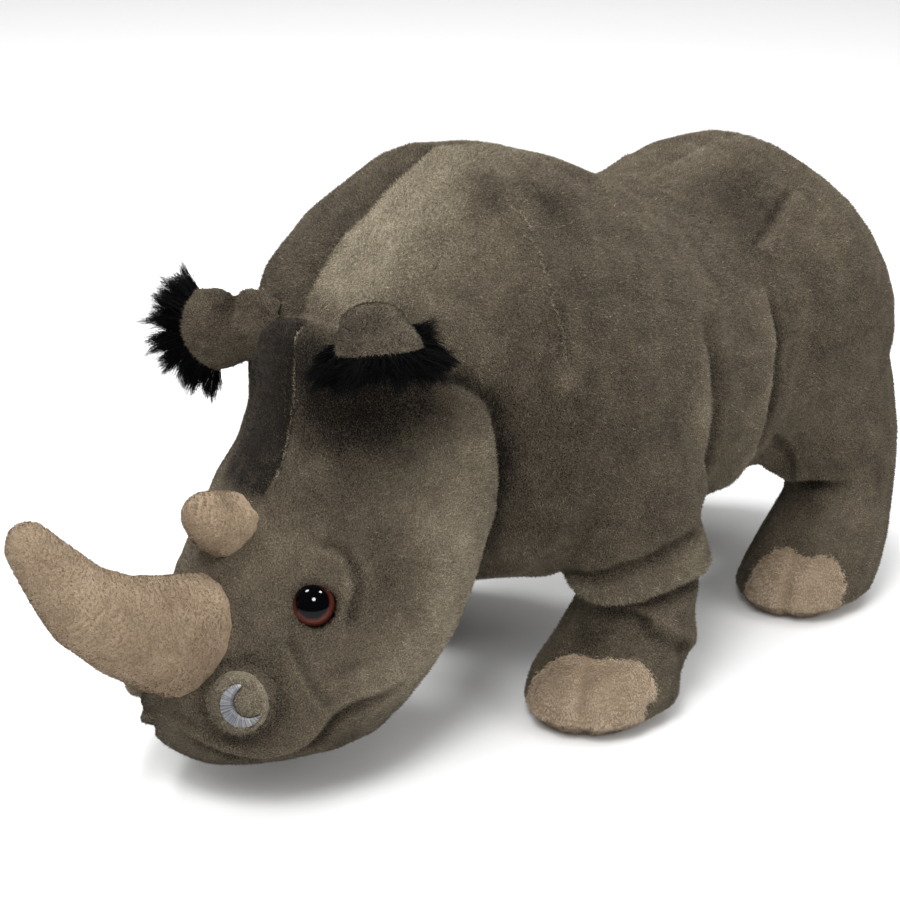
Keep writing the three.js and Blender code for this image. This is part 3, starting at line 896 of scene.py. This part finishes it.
def tuft_coat(name, roots, normals, lay, pile, tones, material, random, swing=0.75, longer=1.0):
    """One mesh of tufts: each is a thin triangle that lies over along the lay."""
    n = len(roots)
    length = pile.length * MM * longer * random.normal(1, 0.16, n).clip(0.5, 1.5)
    width = pile.width * MM * random.normal(1, 0.15, n).clip(0.6, 1.5)
    rise = math.asin(pile.height / pile.length) + random.normal(0, 0.2, n)
    turn = random.normal(0, swing, n) + 0.3 * noise(roots, 12 * MM, 11)
    side = np.cross(normals, lay)
    lay = lay * np.cos(turn)[:, None] + side * np.sin(turn)[:, None]
    side = np.cross(normals, lay)
    axis = lay * np.cos(rise)[:, None] + normals * np.sin(rise)[:, None]
    roll = random.normal(0, 0.7, n)[:, None]
    flat = side * np.cos(roll) + np.cross(axis, side) * np.sin(roll)
    half = flat * (width / 2)[:, None]
    base = roots - normals * TUFT_ROOT
    vertices = np.stack([base - half, base + half, base + axis * length[:, None]], 1).reshape(-1, 3)
    vertices[:, 2] = np.maximum(vertices[:, 2], FLOOR_CLEARANCE)
    faces = np.arange(3 * n).reshape(-1, 3)
    obj = mesh_object(name, vertices, faces, [material], smooth=False)
    tones = tones + random.normal(0, 0.055, n) + 0.26 * (random.random(n) < GLINTS)
    keep_values(obj, "nap", (tones[:, None] + TUFT_SHADES).ravel())
    bake_map(obj, roots, normals, 3, faces)
    return obj


def close_to(points, node, distance):
    """Which points lie within this distance of a CAD node."""
    close = np.zeros(len(points), bool)
    solid = solid_of(node, 0)
    tree = BVHTree.FromBMesh(solid)
    solid.free()
    low, high = box_of(node)
    near = ((points > low - distance) & (points < high + distance)).all(1)
    for i in np.nonzero(near)[0]:
        close[i] = tree.find_nearest(points[i].tolist(), distance)[0] is not None
    return close


# No pile grows on the skin within this many millimetres of a piece that is sewn on.
SEWN_ON = {"front_horn": 1.6, "rear_horn": 1.6, "tail": 1.6}
for side in SIDES:
    SEWN_ON |= {f"{side}_eye": 0.5, f"{side}_nostril": 1.2, f"{side}_ear": 1.4}
covered = np.any([close_to(skin.co, node, reach * MM) for node, reach in SEWN_ON.items()], 0)

NAP_BACK = np.array([0, 0.75, -0.66])  # from the shoulders back and down
NAP_UP_HEAD = np.array([0, 0.62, 0.78])  # and from the muzzle up
BODY_Y = mm(-200, -25, 28, 88, 200)  # where the body's coat is parted into pieces
MID_BODY = 60 * MM  # front legs stand ahead of it and hind legs behind
DARKEST = 0.09  # no grey pile is darker, even deep in a fold


def coat_regions():
    """Name, share of each vertex and pile of each piece of the grey and tan coat."""
    y = skin.co[:, 1]
    on_left = tilted(skin.co, -HEAD_TILT)[:, 0] >= 0
    legs = owned_by("_leg")
    grey = (1 - tan_share) * ~covered
    for name, part, pile in (("face", is_face, "face"), ("head", on_head & ~is_face, "body")):
        yield f"coat_{name}_left", grey * part * on_left, pile
        yield f"coat_{name}_right", grey * part * ~on_left, pile
    for name, start, end in zip(("neck", "shoulders", "flanks", "rump"), BODY_Y, BODY_Y[1:]):
        yield f"coat_{name}", grey * ~on_head * ~legs * (y >= start) * (y < end), "body"
    yield "coat_front_legs", (1 - tan_share) * legs * (y < MID_BODY), "foot"
    yield "coat_hind_legs", (1 - tan_share) * legs * (y >= MID_BODY), "foot"
    yield "coat_toes", tan_share, "cap"


def seam_lines():
    """The lines where backing and thread show through, and how light they are."""
    return [(line, THREADS[name])
            for table, on_the_head in ((BODY_FOLDS, False), (HEAD_FOLDS, True))
            for name, line, _, _ in laid(table, skin_tree, on_the_head) if name in THREADS]


def fleece_rows(points, axis, pitch, seed):
    """Fleece lies in short wavering rows across its lay.

    Returns the place in the row, from 0 where it parts from the last one to 1 at its tips, and
    how clearly the row shows there.
    """
    wander = 1.3 * noise(points, 5 * pitch, seed) + 0.7 * noise(points, 2.2 * pitch, seed + 1)
    place = (points @ axis / pitch + wander) % 1
    return place, smoothstep(-0.45, 0.25, noise(points, 1.7 * pitch, seed + 2))


def fleece_shade(place, clear):
    return 0.12 * clear * (place - 0.5) - 0.34 * clear * smoothstep(0.36, 0.04, place)


def fleece_length(place, clear):
    """Tufts at the end of a row stop short of the parting."""
    return 1 - 0.6 * clear * smoothstep(0.35, 1, place)


# The toe caps' pile runs down and forward over the toes.
CAP_LAY = {"front": unit(np.array([0.45, -0.6, -0.75])),
           "hind": unit(np.array([0.3, -0.65, -0.75]))}
CAP_ROWS = (np.array([0, 0, -1.0]), 1.5 * MM, 24)
CAP_TONE = 0.71
# painted shade in the crease between each foot's two toes
TOE_CREASE_SHADE = 0.17


def cap_look(roots):
    place, clear = fleece_rows(roots, *CAP_ROWS)
    tones = CAP_TONE + 0.05 * noise(roots, 6 * MM, 21) + 0.06 * noise(roots, 1.2 * MM, 22)
    tones += 0.6 * fleece_shade(place, clear)
    for foot in FEET:
        across, ahead = toe_across(roots, foot)
        crease = bell(across, 1.3 * MM) * (np.abs(ahead - 24 * MM) < 16 * MM)
        tones -= TOE_CREASE_SHADE * crease * smoothstep(5 * MM, 12 * MM, roots[:, 2])
    # Painted shade low on the caps, near the floor.
    return tones - 0.1 * smoothstep(9 * MM, 2 * MM, roots[:, 2]), fleece_length(place, clear)


def cap_lay(roots, normals):
    down = np.where((roots[:, 1] < MID_BODY)[:, None], CAP_LAY["front"], CAP_LAY["hind"])
    down[:, 0] *= np.sign(roots[:, 0])
    return lay_along(normals, down)


def grow_skin_coat():
    threads = seam_lines()
    for seed, (name, marked, pile_name) in enumerate(coat_regions(), 100):
        pile = PILES[pile_name]
        corners, parts, random = sown(skin, marked, pile.density, seed)
        roots = blended(skin.co, corners, parts)
        normals = unit(blended(skin_normals, corners, parts))
        if pile_name == "cap":
            tones, longer = cap_look(roots)
            coat = tuft_coat(name, roots, normals, cap_lay(roots, normals), pile, tones,
                             TAN_PLUSH, random, longer=longer)
            finished(coat, "tan_plush")
            continue
        head_share = blended(on_head.astype(float), corners, parts)
        lay = unit(lay_along(normals, NAP_BACK) * (1 - head_share)[:, None]
                   + lay_along(normals, NAP_UP_HEAD) * head_share[:, None])
        longer = 1 + 0.7 * blended(ruffle, corners, parts)
        shade = blended(fold_shade, corners, parts)
        tones = np.maximum(nap_tone(roots, head_share > 0.5) + shade, DARKEST)
        tones += 0.06 * noise(roots, 1.3 * MM, 23)
        for line, lightness in threads:
            distance, along, _ = line.measure(roots, 3 * MM)
            thread = bell(distance, 0.45 * MM) * faded(along, 0.05, 0.05)
            thread *= 0.55 + 0.45 * noise(roots, 4 * MM, 25)
            tones += lightness * thread
            roots = roots + normals * (0.5 * MM * thread)[:, None]
            longer = longer * (1 - 0.5 * thread)
        coat = tuft_coat(name, roots, normals, lay, pile, tones, GREY_PLUSH, random,
                         longer=longer)
        finished(coat, "grey_plush")


grow_skin_coat()

# ---- Small stuffed pieces ---------------------------------------------------------------

ROOT_SPAN = (2.6 * MM, 0.8 * MM)  # how far off the skin a piece's root starts and is full
ROOT_DEPTH = 2.5 * MM  # how much further than its solid the root goes in
PIECE_CLOSING = 0.2 * MM
PIECE_EVENING = 16
PIECE_SHADED = 0.12


def stuffed_piece(name, node, axis, pile_name, slot, look, sculpt=None, fill=0.8, rows=None):
    """A sewn-on piece: its skin, whose root goes on into the body, and its coat.

    The pile lies along the axis. The look gives a tone for each place, and the sculpt may
    press or swell the surface first.
    """
    pile, material = PILES[pile_name], PLUSH[slot]
    surface = remeshed([node], SMALL_VOXEL, PIECE_CLOSING)
    surface.smooth(PIECE_EVENING)
    if sculpt:
        sculpt(surface)
    surface.push(-pile.height * MM)
    normals = surface.normals()
    off_skin = np.array([skin_tree.find_nearest(p)[3] for p in surface.co.tolist()])
    rooted = smoothstep(*ROOT_SPAN, off_skin)
    surface.co -= axis * (rooted * ROOT_DEPTH)[:, None]
    body = mesh_object(name, surface.co, surface.quads, [material])
    keep_values(body, "nap", look(surface.co) - PIECE_SHADED)
    finished(body, slot, node, fill=fill)
    corners, parts, random = sown(surface, 1 - rooted, pile.density, len(name))
    roots = blended(surface.co, corners, parts)
    at = unit(blended(normals, corners, parts))
    tones, longer = look(roots), 1.0
    if rows:
        place, clear = fleece_rows(roots, *rows)
        tones = tones + fleece_shade(place, clear)
        longer = fleece_length(place, clear)
    coat = tuft_coat(f"{name}_coat", roots, at, lay_along(at, axis), pile, tones, material, random,
                     swing=0.5, longer=longer)
    finished(coat, slot)


# ---- Horns ------------------------------------------------------------------------------

ROW_PITCH = 1.6 * MM
HORN_TONE = 0.46
# Painted sheen on the horns' fleece, and one spot of painted shade.
HORN_SHEEN_AND_SHADE = [(7, -119, 66.5, 6, 0.16), (11, -128, 60, 16, -0.08), (4, -160, 86, 14, 0.05)]
# The rear horn is a small cone squashed down: pressed in on its crown, with a lump behind.
REAR_HORN_DENTS = [(1, -105.5, 89, 5.5, -2.1), (6, -104, 83.5, 4.5, 1.0),
                   (-6, -118, 77.5, 6, -0.8), (-1, -112, 91, 5, 0.8), (7, -113, 78, 5, -0.9)]


def horn_axis(node):
    """From the middle of the horn's root, on the head, to its far end."""
    low, high = box_of(node)
    return unit(np.array([0, low[1] - high[1], high[2] - low[2]]))


def fleece_look(points):
    return (HORN_TONE + 0.05 * noise(points, 9 * MM, 36) + 0.04 * noise(points, 1.6 * MM, 37)
            + spots(points, HORN_SHEEN_AND_SHADE))


def shape_front_horn(surface):
    surface.push(0.3 * MM * noise(surface.co, 14 * MM, 31))


def shape_rear_horn(surface):
    for *place, radius, amount in REAR_HORN_DENTS:
        surface.push_spot(mm(*place), radius, amount)


for horn, shape in (("front_horn", shape_front_horn), ("rear_horn", shape_rear_horn)):
    axis = horn_axis(horn)
    stuffed_piece(f"plush_{horn}", horn, axis, "fleece", "tan_plush", fleece_look, shape,
                  rows=(axis, ROW_PITCH, 34))

# ---- Ears -------------------------------------------------------------------------------

EAR_LENGTH = 27
EAR_WIDTH = 27
EAR_CUP = 10
EAR_OUTLINE = ((-0.3, 0.08, 0.38, 0.7, 1.0), (0.36, 0.38, 0.46, 0.5, 0.38))
EAR_ROUNDING = 0.3  # the share of the outline over which the tip rounds off
EARS = {  # where the root sits, where the ear points, and which way its width runs
    "left": (mm(29, -69.7, 135.8), (0.71, -0.56, -0.16), (0.616, 0.788, 0.0)),
    "right": (mm(-21, -70.2, 128), (-0.88, -0.42, -0.17), (0.1, 0.0, -1.0)),
}
# Spots of painted light and shade on the ears, such as a lit rim along the left ear's top.
EAR_LIGHT_AND_SHADE = [
    (-36, -75.5, 130.5, 3.6, -0.16), (-36, -76.5, 126, 3, -0.1), (-32, -73.5, 127, 4, 0.12),
    (-45, -79, 129, 6, 0.06), (36, -70, 140, 6, 0.14), (24, -66, 142, 3.5, 0.14),
    (18, -73, 142, 3.5, 0.1), (26, -80, 140, 9, -0.05),
]
# The right ear is folded just above its stalk: a crease from its upper edge, and a bulge by it.
EAR_PINCH = [(-13, -2.5, 5.5), (-10.5, 0, 6), (-7, 2.4, 7.2), (-3, 3.5, 8.4), (1, 3.6, 9.5)]
EAR_BULGE = ((-8, 1, 2), 3.6, 1.4)

FRINGE_STARTS = {"left": (0.42, 0.16), "right": (0.72, 0.7)}  # on each edge, along the ear
FRINGE_LENGTH = {"left": 12.0, "right": 13.5}
FRINGE_GROWTH = {  # how long it is from one end to the other, as a share of that
    "left": ((0, 0.2, 0.5, 0.75, 0.88, 1), (0.6, 1.05, 1.1, 0.9, 0.95, 0.8)),
    "right": ((0, 0.3, 0.6, 0.8, 1), (0.9, 1.02, 1.0, 1.0, 0.9)),
}
FRINGE_RISE = {"left": (0.45, 0.65), "right": (0, 0)}  # how far its ends turn back along the ear
FRINGE_SPREAD = {"left": 0.4, "right": 0.24}
FRINGE_CLUMPS = 40
FRINGE_STRANDS = 5600
STRAND_WIDTH = 0.24 * MM
PALE_STRANDS = {"left": 0, "right": 9}  # a few of the lining's light fibres among the black


def ear_axes(side):
    """The ear's width, thickness and length directions, and its root."""
    root, tip, width = EARS[side]
    along = unit(np.array(tip))
    across = np.array(width)
    across = unit(across - along * (across @ along))
    axes = np.stack([across, np.cross(along, across), along])
    turned = tilted(axes + root, HEAD_TILT) - tilted(root, HEAD_TILT)
    return turned, tilted(root, HEAD_TILT)


def ear_places(side, points):
    """Points given as millimetres across, through and along the ear."""
    axes, root = ear_axes(side)
    return root + (np.asarray(points, float) * MM) @ axes


def ear_rim(count, starts):
    """Points along the ear's outline from one side over the tip to the other, and outward ways."""
    across, up = [], []
    for side, start in zip((-1, 1), starts):
        share = np.linspace(start, 1, 200)
        along = np.interp(share, EAR_OUTLINE[0], np.linspace(0, 1, 5))
        inside = np.maximum(0, 1 - (1 - along) / EAR_ROUNDING)
        half = EAR_WIDTH * np.interp(share, *EAR_OUTLINE) * np.sqrt(np.maximum(0, 1 - inside**2))
        across.append(side * half[::-side])
        up.append(EAR_LENGTH * share[::-side])
    across, up = np.concatenate(across), np.concatenate(up)
    length = np.concatenate([[0], np.cumsum(np.hypot(np.diff(across), np.diff(up)))])
    at = np.linspace(0, length[-1], count)
    x, z = np.interp(at, length, across), np.interp(at, length, up)
    return x, z, unit(np.stack([-np.gradient(z), np.gradient(x)], 1))


def strands(name, roots, ways, tips, width, tones, random, steps=3):
    """Long hair: each strand is a thin ribbon that runs out one way and bends towards its tip."""
    n = len(roots)
    share = np.linspace(0, 1, steps + 1)[None, :, None]
    reach = np.linalg.norm(tips - roots, axis=1)[:, None, None]
    bend = tips[:, None] - roots[:, None] - ways[:, None] * reach
    path = roots[:, None] + ways[:, None] * reach * share + bend * share**2
    flat = unit(np.cross(ways, random.normal(0, 1, (n, 3))))[:, None]
    taper = 1 - 0.85 * share**1.5
    half = flat * taper * (width / 2 * random.uniform(0.7, 1.3, n))[:, None, None]
    vertices = np.stack([path - half, path + half], 2).reshape(-1, 3)
    count = 2 * (steps + 1)
    step = np.array([[0, 1, 3], [0, 3, 2]])
    starts = 2 * np.arange(steps) + count * np.arange(n)[:, None]
    faces = (step + starts[:, :, None, None]).reshape(-1, 3)
    obj = mesh_object(name, vertices, faces, [BLACK_PLUSH])
    # Painted shade towards each strand's root, lighter towards its tip.
    shades = tones[:, None, None] + 0.2 * (share - 0.5)
    keep_values(obj, "nap", np.repeat(shades, 2, axis=2).ravel())
    bake_map(obj, roots, unit(ways), count, faces)
    return obj


def grow_fringe(side, seed):
    """Black fur that grows from under the ear's rim and gathers into pointed clumps."""
    random = np.random.default_rng(seed)
    x, z, out = ear_rim(FRINGE_STRANDS, FRINGE_STARTS[side])
    count = len(x)
    slope = -2 * EAR_CUP * x / EAR_WIDTH**2
    depth = random.uniform(-2.6, 0.9, count)
    back = random.uniform(0.2, 2.4, count)
    inner = np.stack([x - out[:, 0] * back, depth - EAR_CUP * (x / EAR_WIDTH) ** 2,
                      z - out[:, 1] * back], 1)
    way = unit(np.stack([out[:, 0], slope * out[:, 0] - 0.1, out[:, 1]], 1))
    share = np.linspace(0, 1, count)
    first, last = FRINGE_RISE[side]
    way[:, 2] -= first * smoothstep(0.16, 0.02, share) + last * smoothstep(0.8, 0.95, share)
    way = unit(way)
    full = FRINGE_LENGTH[side] * np.interp(share, *FRINGE_GROWTH[side])
    ends = np.linspace(0, count - 1, FRINGE_CLUMPS).astype(int)
    reach = full[ends] * random.uniform(0.84, 1.1, FRINGE_CLUMPS)
    stray = random.normal(0, 0.24, (FRINGE_CLUMPS, 3))
    points = inner[ends] + unit(way[ends] + stray) * reach[:, None]
    clump = np.abs(np.arange(count)[:, None] - ends[None]).argmin(1)
    clump += random.integers(-1, 2, count) * (random.random(count) < 0.3)
    clump = np.clip(clump, 0, FRINGE_CLUMPS - 1)
    spread = random.normal(0, FRINGE_SPREAD[side], (count, 3))
    own = inner + unit(way + spread) * (full * random.uniform(0.35, 1.0, count))[:, None]
    pull = random.uniform(0.1, 0.9, count)[:, None]
    end = own * (1 - pull) + points[clump] * pull
    end += random.normal(0, 0.3, end.shape)
    roots, tips = ear_places(side, inner), ear_places(side, end)
    tips[:, 2] -= 1.2 * MM * random.uniform(0, 1, count)
    ways = unit(way @ ear_axes(side)[0] + random.normal(0, 0.16, (count, 3)))
    tones = (0.14 + random.normal(0, 0.12, count)).clip(0, 0.66)
    tones[random.integers(int(0.9 * count), count, PALE_STRANDS[side])] = 1.0
    fur = strands(f"{side}_ear_fur", roots, ways, tips, STRAND_WIDTH, tones, random)
    finished(fur, "black_plush", f"{side}_ear_fringe")


def ear_look(points):
    return (BASE_TONE - 0.05 + 0.04 * noise(points, 7 * MM, 41)
            + 0.05 * noise(points, 1.6 * MM, 42) + spots(points, EAR_LIGHT_AND_SHADE))


def pinch_right_ear(surface):
    crease = Line(ear_places("right", EAR_PINCH), surface.tree())
    fold(surface, crease, 3.4, 2.2, fade=(0, 0.5))
    place, radius, amount = EAR_BULGE
    surface.push_spot(ear_places("right", place), radius, amount)


for seed, (side, pinch) in enumerate({"left": None, "right": pinch_right_ear}.items(), 51):
    stuffed_piece(f"plush_{side}_ear", f"{side}_ear", ear_axes(side)[0][2], "ear",
                  "grey_plush", ear_look, pinch, fill=0.4)
    grow_fringe(side, seed)

# ---- Eyes -------------------------------------------------------------------------------

EYE_RADIUS = 6.2 * MM
EYE_DEPTH = 4.46 * MM
EYE_ROUNDING = 0.12  # how far the rim draws in behind, as a share of the radius
EYE_SKIRT = 0.3  # how deep the rim goes in, as a share of the dome's depth
PUPIL_LIFT = 0.13  # the pupil's centre sits this share of the radius above the eye's
PUPIL_FORWARD = 0.2  # and this share of it ahead
IRIS_SPAN = 1.25  # the furthest that the rim is from the pupil's centre, in radii


def make_eye(side, rings=26, sectors=56):
    """A lathed safety eye: a deep dome, a rounded edge, and a brown ring that the pupil leaves."""
    axes = head_axes(side, EYE_YAW[side])
    angle = np.linspace(0, math.pi / 2, rings)
    edge = np.linspace(0, math.pi / 2, 5)[1:]
    radius = np.concatenate([np.sin(angle), 1 - EYE_ROUNDING * (1 - np.cos(edge))]) * EYE_RADIUS
    level = np.concatenate([np.cos(angle), -EYE_SKIRT * np.sin(edge)]) * EYE_DEPTH
    around = np.arange(sectors) * 2 * math.pi / sectors
    across = radius[1:, None] * np.cos(around)
    up = radius[1:, None] * np.sin(around)
    out = np.broadcast_to(level[1:, None], across.shape)
    places = np.stack([across, out, up], 2).reshape(-1, 3)
    places = np.vstack([[0, level[0], 0], places, [0, level[-1], 0]])
    faces = []
    for k in range(sectors):
        n = (k + 1) % sectors
        faces.append([0, 1 + k, 1 + n])
        for a in range(1, 1 + (len(radius) - 2) * sectors, sectors):
            b = a + sectors
            faces += [[a + k, b + k, b + n], [a + k, b + n, a + n]]
        faces.append([b + k, len(places) - 1, b + n])
    faces = np.array(faces)[:, ::-SIDES[side]]
    eye = mesh_object(f"glossy_{side}_eye", eye_middle(side) + places @ axes, faces, [EYE_PLASTIC])
    ahead = places[:, 0] * SIDES[side] + PUPIL_FORWARD * EYE_RADIUS
    off = np.hypot(ahead, places[:, 2] - PUPIL_LIFT * EYE_RADIUS) / EYE_RADIUS
    keep_values(eye, "iris", off / IRIS_SPAN)
    finished(eye, "eye_plastic", f"{side}_eye")


for side in SIDES:
    make_eye(side)

# ---- Nostrils ---------------------------------------------------------------------------

NOSTRIL_YAW = math.radians(46)
PAD_RADIUS = 9.5
PAD_DEPTH = 4.5
PAD_TONE = BASE_TONE + 0.22
PAD_SWELL = 0.5  # how far the plush swells past the pad's solid
PULLED_IN = 0.5  # and how far the stitching pulls it down
CRESCENT_OUTER = 6.3
CRESCENT_INNER = 4.3
CRESCENT_SHIFT = 1.25  # how far the inner circle's centre lies up and back from the outer's
CRESCENT_SPAN = (math.radians(112), math.radians(346))
CRESCENT_PLACE = (1.3, -0.5)  # across and up from the pad's middle
CRESCENT_THREADS = 96
THREAD_HALF = 0.16
THREAD_ROUND = 0.22
THREAD_CROWN = 0.6  # how high the middle of a stitch stands over its ends
THREAD_SUNK = 0.5  # how far those dip under the pad's face


def along_crescent(angle):
    start, end = CRESCENT_SPAN
    return (angle - start) / (end - start)


def crescent_edges(angle):
    """The inner and outer radius of the crescent at this angle; both meet at its ends."""
    toward = CRESCENT_SHIFT * (np.cos(angle) + np.sin(angle))
    inner = toward + np.sqrt(CRESCENT_INNER**2 - 2 * CRESCENT_SHIFT**2 + toward**2)
    full = np.sqrt(np.clip(1 - (2 * along_crescent(angle) - 1) ** 8, 0, 1))
    middle = (inner + CRESCENT_OUTER) / 2
    half = (CRESCENT_OUTER - inner) / 2 * full
    return middle - half, middle + half


def pad_height(x, z):
    return PAD_DEPTH * math.sqrt(max(0, 1 - (x * x + z * z) / PAD_RADIUS**2))


def make_nostril(side):
    """A puffed pad, with a crescent of satin stitches across it."""
    axes = head_axes(side, NOSTRIL_YAW)
    centre = middle_of(f"{side}_nostril")
    hand = SIDES[side]
    place_x, place_z = CRESCENT_PLACE

    def on_crescent(points):
        off = (points - centre) @ axes.T / MM
        x, z = off[:, 0] * hand - place_x, off[:, 2] - place_z
        angle = np.arctan2(z, x) % (2 * math.pi)
        low, high = crescent_edges(np.clip(angle, *CRESCENT_SPAN))
        radius = np.hypot(x, z)
        inside = (angle > CRESCENT_SPAN[0]) & (angle < CRESCENT_SPAN[1])
        return inside & (radius > low) & (radius < high)

    def look(points):
        return PAD_TONE + 0.07 * noise(points, 3 * MM, 61) - 0.2 * on_crescent(points)

    def press(surface):
        surface.push(MM * (PAD_SWELL - PULLED_IN * on_crescent(surface.co)))

    stuffed_piece(f"plush_{side}_nostril", f"{side}_nostril", axes[1], "pad", "grey_plush", look,
                  press)
    random = np.random.default_rng(63)
    angles = np.linspace(*CRESCENT_SPAN, CRESCENT_THREADS)
    lengthwise = np.linspace(0, 1, 7)
    section = np.linspace(0, math.pi, 5)
    vertices, tones = [], []
    for angle, start, end in zip(angles, *crescent_edges(angles)):
        radius = start + (end - start) * lengthwise
        skew = angle + 0.05 * (lengthwise - 0.5) + random.normal(0, 0.006)
        crown = THREAD_CROWN * np.sin(math.pi * lengthwise) ** 0.5 + random.normal(0, 0.03)
        for r, t, c in zip(radius, skew, crown - THREAD_SUNK):
            for phi in section:
                sideways = THREAD_HALF * math.cos(phi)
                x = r * math.cos(t) - sideways * math.sin(t) + place_x
                z = r * math.sin(t) + sideways * math.cos(t) + place_z
                out = pad_height(x, z) + c + THREAD_ROUND * math.sin(phi)
                vertices.append(centre + np.array([x * hand, out, z]) * MM @ axes)
        share = along_crescent(angle)
        tone = 0.52 + random.normal(0, 0.12) + 0.5 * smoothstep(0.06, 0, share)
        # Painted shade on the inner side of the crescent's thick part, and painted light along each
        # stitch's rounded top.
        inner_shade = 0.45 * bell(share - 0.35, 0.2)
        tones += [tone + 0.1 * math.sin(phi) - inner_shade * (1 - along) ** 1.5
                  for along in lengthwise for phi in section]
    m = len(section)
    a = np.arange(len(vertices)).reshape(len(angles), len(lengthwise), m)[:, :-1, :-1].ravel()
    threads = mesh_object(f"{side}_nostril_threads", vertices,
                          np.stack([a, a + 1, a + 1 + m, a + m], 1), [BLUE_THREAD])
    keep_values(threads, "nap", tones)
    finished(threads, "blue_thread", f"{side}_nostril_stitch")


for side in SIDES:
    make_nostril(side)

# ---- Tail -------------------------------------------------------------------------------

TUFT_STRANDS = 1500
TUFT_CLUMPS = 12
TUFT_RADIUS = 3.4 * MM
TUFT_DEPTH = 9  # how far up the tuft its roots start, and its clumps end
TUFT_STRAND_WIDTH = 0.36 * MM


def tail_look(points):
    return BASE_TONE + 0.04 * noise(points, 4 * MM, 71)


def round_about(middle, radius, angle, height):
    return np.stack([middle[0] + radius * np.cos(angle), middle[1] + radius * np.sin(angle),
                     height], 1)


def make_tail():
    stuffed_piece("plush_tail", "tail", unit(np.array([0, 0.25, -1.0])), "ear", "grey_plush",
                  tail_look)
    random = np.random.default_rng(72)
    low, high = box_of("tail_tuft")
    middle = (low + high) / 2
    n = TUFT_STRANDS
    angle = random.uniform(0, 2 * math.pi, n)
    ring = TUFT_RADIUS * np.sqrt(random.random(n))
    roots = round_about(middle, ring, angle, high[2] - random.uniform(0, TUFT_DEPTH, n) * MM)
    clump = (angle / (2 * math.pi) * TUFT_CLUMPS).astype(int) % TUFT_CLUMPS
    at = (np.arange(TUFT_CLUMPS) + 0.5) * 2 * math.pi / TUFT_CLUMPS
    wide = random.uniform(1.5, 4.2, TUFT_CLUMPS) * MM
    deep = low[2] + random.uniform(0, TUFT_DEPTH, TUFT_CLUMPS) * MM
    points = round_about(middle, wide, at, deep)
    points[:, 1] = np.minimum(points[:, 1], high[1])
    tips = points[clump] + random.normal(0, 0.8 * MM, (n, 3))
    ways = unit(np.stack([0.5 * np.cos(angle), 0.5 * np.sin(angle), np.full(n, -1.0)], 1))
    tones = 0.4 + random.normal(0, 0.2, n)
    fur = strands("tail_fur", roots, ways, tips, TUFT_STRAND_WIDTH, tones, random, steps=6)
    finished(fur, "black_plush", "tail_tuft")


make_tail()

# ---- Stage ------------------------------------------------------------------------------

AIM = Vector((0, 0, 0.08))
LAMPS = {  # place, size across and power of each soft round lamp
    "key": ((0.35, -0.75, 1.05), 0.7, 7),
    "top": ((0.1, 0.25, 1.3), 1.1, 7),
    "fill": ((1.1, 0.1, 0.5), 0.9, 4.4),
    "left fill": ((-0.9, -0.6, 0.6), 0.9, 3),
    "front lamp": ((0.34, -0.51, 0.81), 0.3, 4),
    "high lamp": ((-0.14, 0.1, 0.93), 0.2, 3),
    "side lamp": ((-0.55, -0.09, 0.76), 0.2, 3),
    # A glint is seen only as a spot on glossy things.
    "front glint": ((0.59, -0.40, 0.71), 0.22, 10),
    "high glint": ((0.32, 0.26, 0.84), 0.2, 9),
    "side glint": ((-0.22, -0.25, 0.92), 0.22, 9),
}
CAMERA_AZIMUTH = math.radians(45)
CAMERA_ELEVATION = math.radians(22)
CAMERA_DISTANCE = 0.775
LOOK_AT = Vector((-0.004, -0.0152, 0.0763))


def make_floor(reach=12.0):
    paint = Recipe("pale_floor").finish((0.86, 0.86, 0.86, 1), 0.9, 0.5)
    corners = reach * np.array([[-1, -1, 0], [1, -1, 0], [1, 1, 0], [-1, 1, 0]])
    mesh_object("floor", corners, np.array([[0, 1, 2, 3]]), [paint])


def make_lights():
    for name, (place, size, power) in LAMPS.items():
        light = bpy.data.lights.new(name, "AREA")
        light.shape = "DISK"
        light.size = size
        light.energy = power
        obj = linked(name, light)
        obj.location = place
        obj.visible_glossy = name.endswith("glint")
        obj.visible_diffuse = not obj.visible_glossy
        obj.rotation_euler = (AIM - Vector(place)).to_track_quat("-Z", "Y").to_euler()
    world = bpy.data.worlds.new("studio")
    world.cycles_visibility.glossy = False
    world.use_nodes = True
    background = world.node_tree.nodes["Background"]
    background.inputs["Color"].default_value = (1, 1, 1, 1)
    background.inputs["Strength"].default_value = 0.55
    bpy.context.scene.world = world


def make_camera():
    level = math.cos(CAMERA_ELEVATION)
    back = Vector((math.sin(CAMERA_AZIMUTH) * level, -math.cos(CAMERA_AZIMUTH) * level,
                   math.sin(CAMERA_ELEVATION)))
    camera = linked("camera", bpy.data.cameras.new("camera"))
    camera.data.lens = 100
    camera.data.sensor_width = 36
    camera.location = LOOK_AT + back * CAMERA_DISTANCE
    camera.rotation_euler = (-back).to_track_quat("-Z", "Y").to_euler()
    bpy.context.scene.camera = camera


make_floor()
make_lights()
make_camera()
bpy.context.scene.view_settings.view_transform = "Standard"
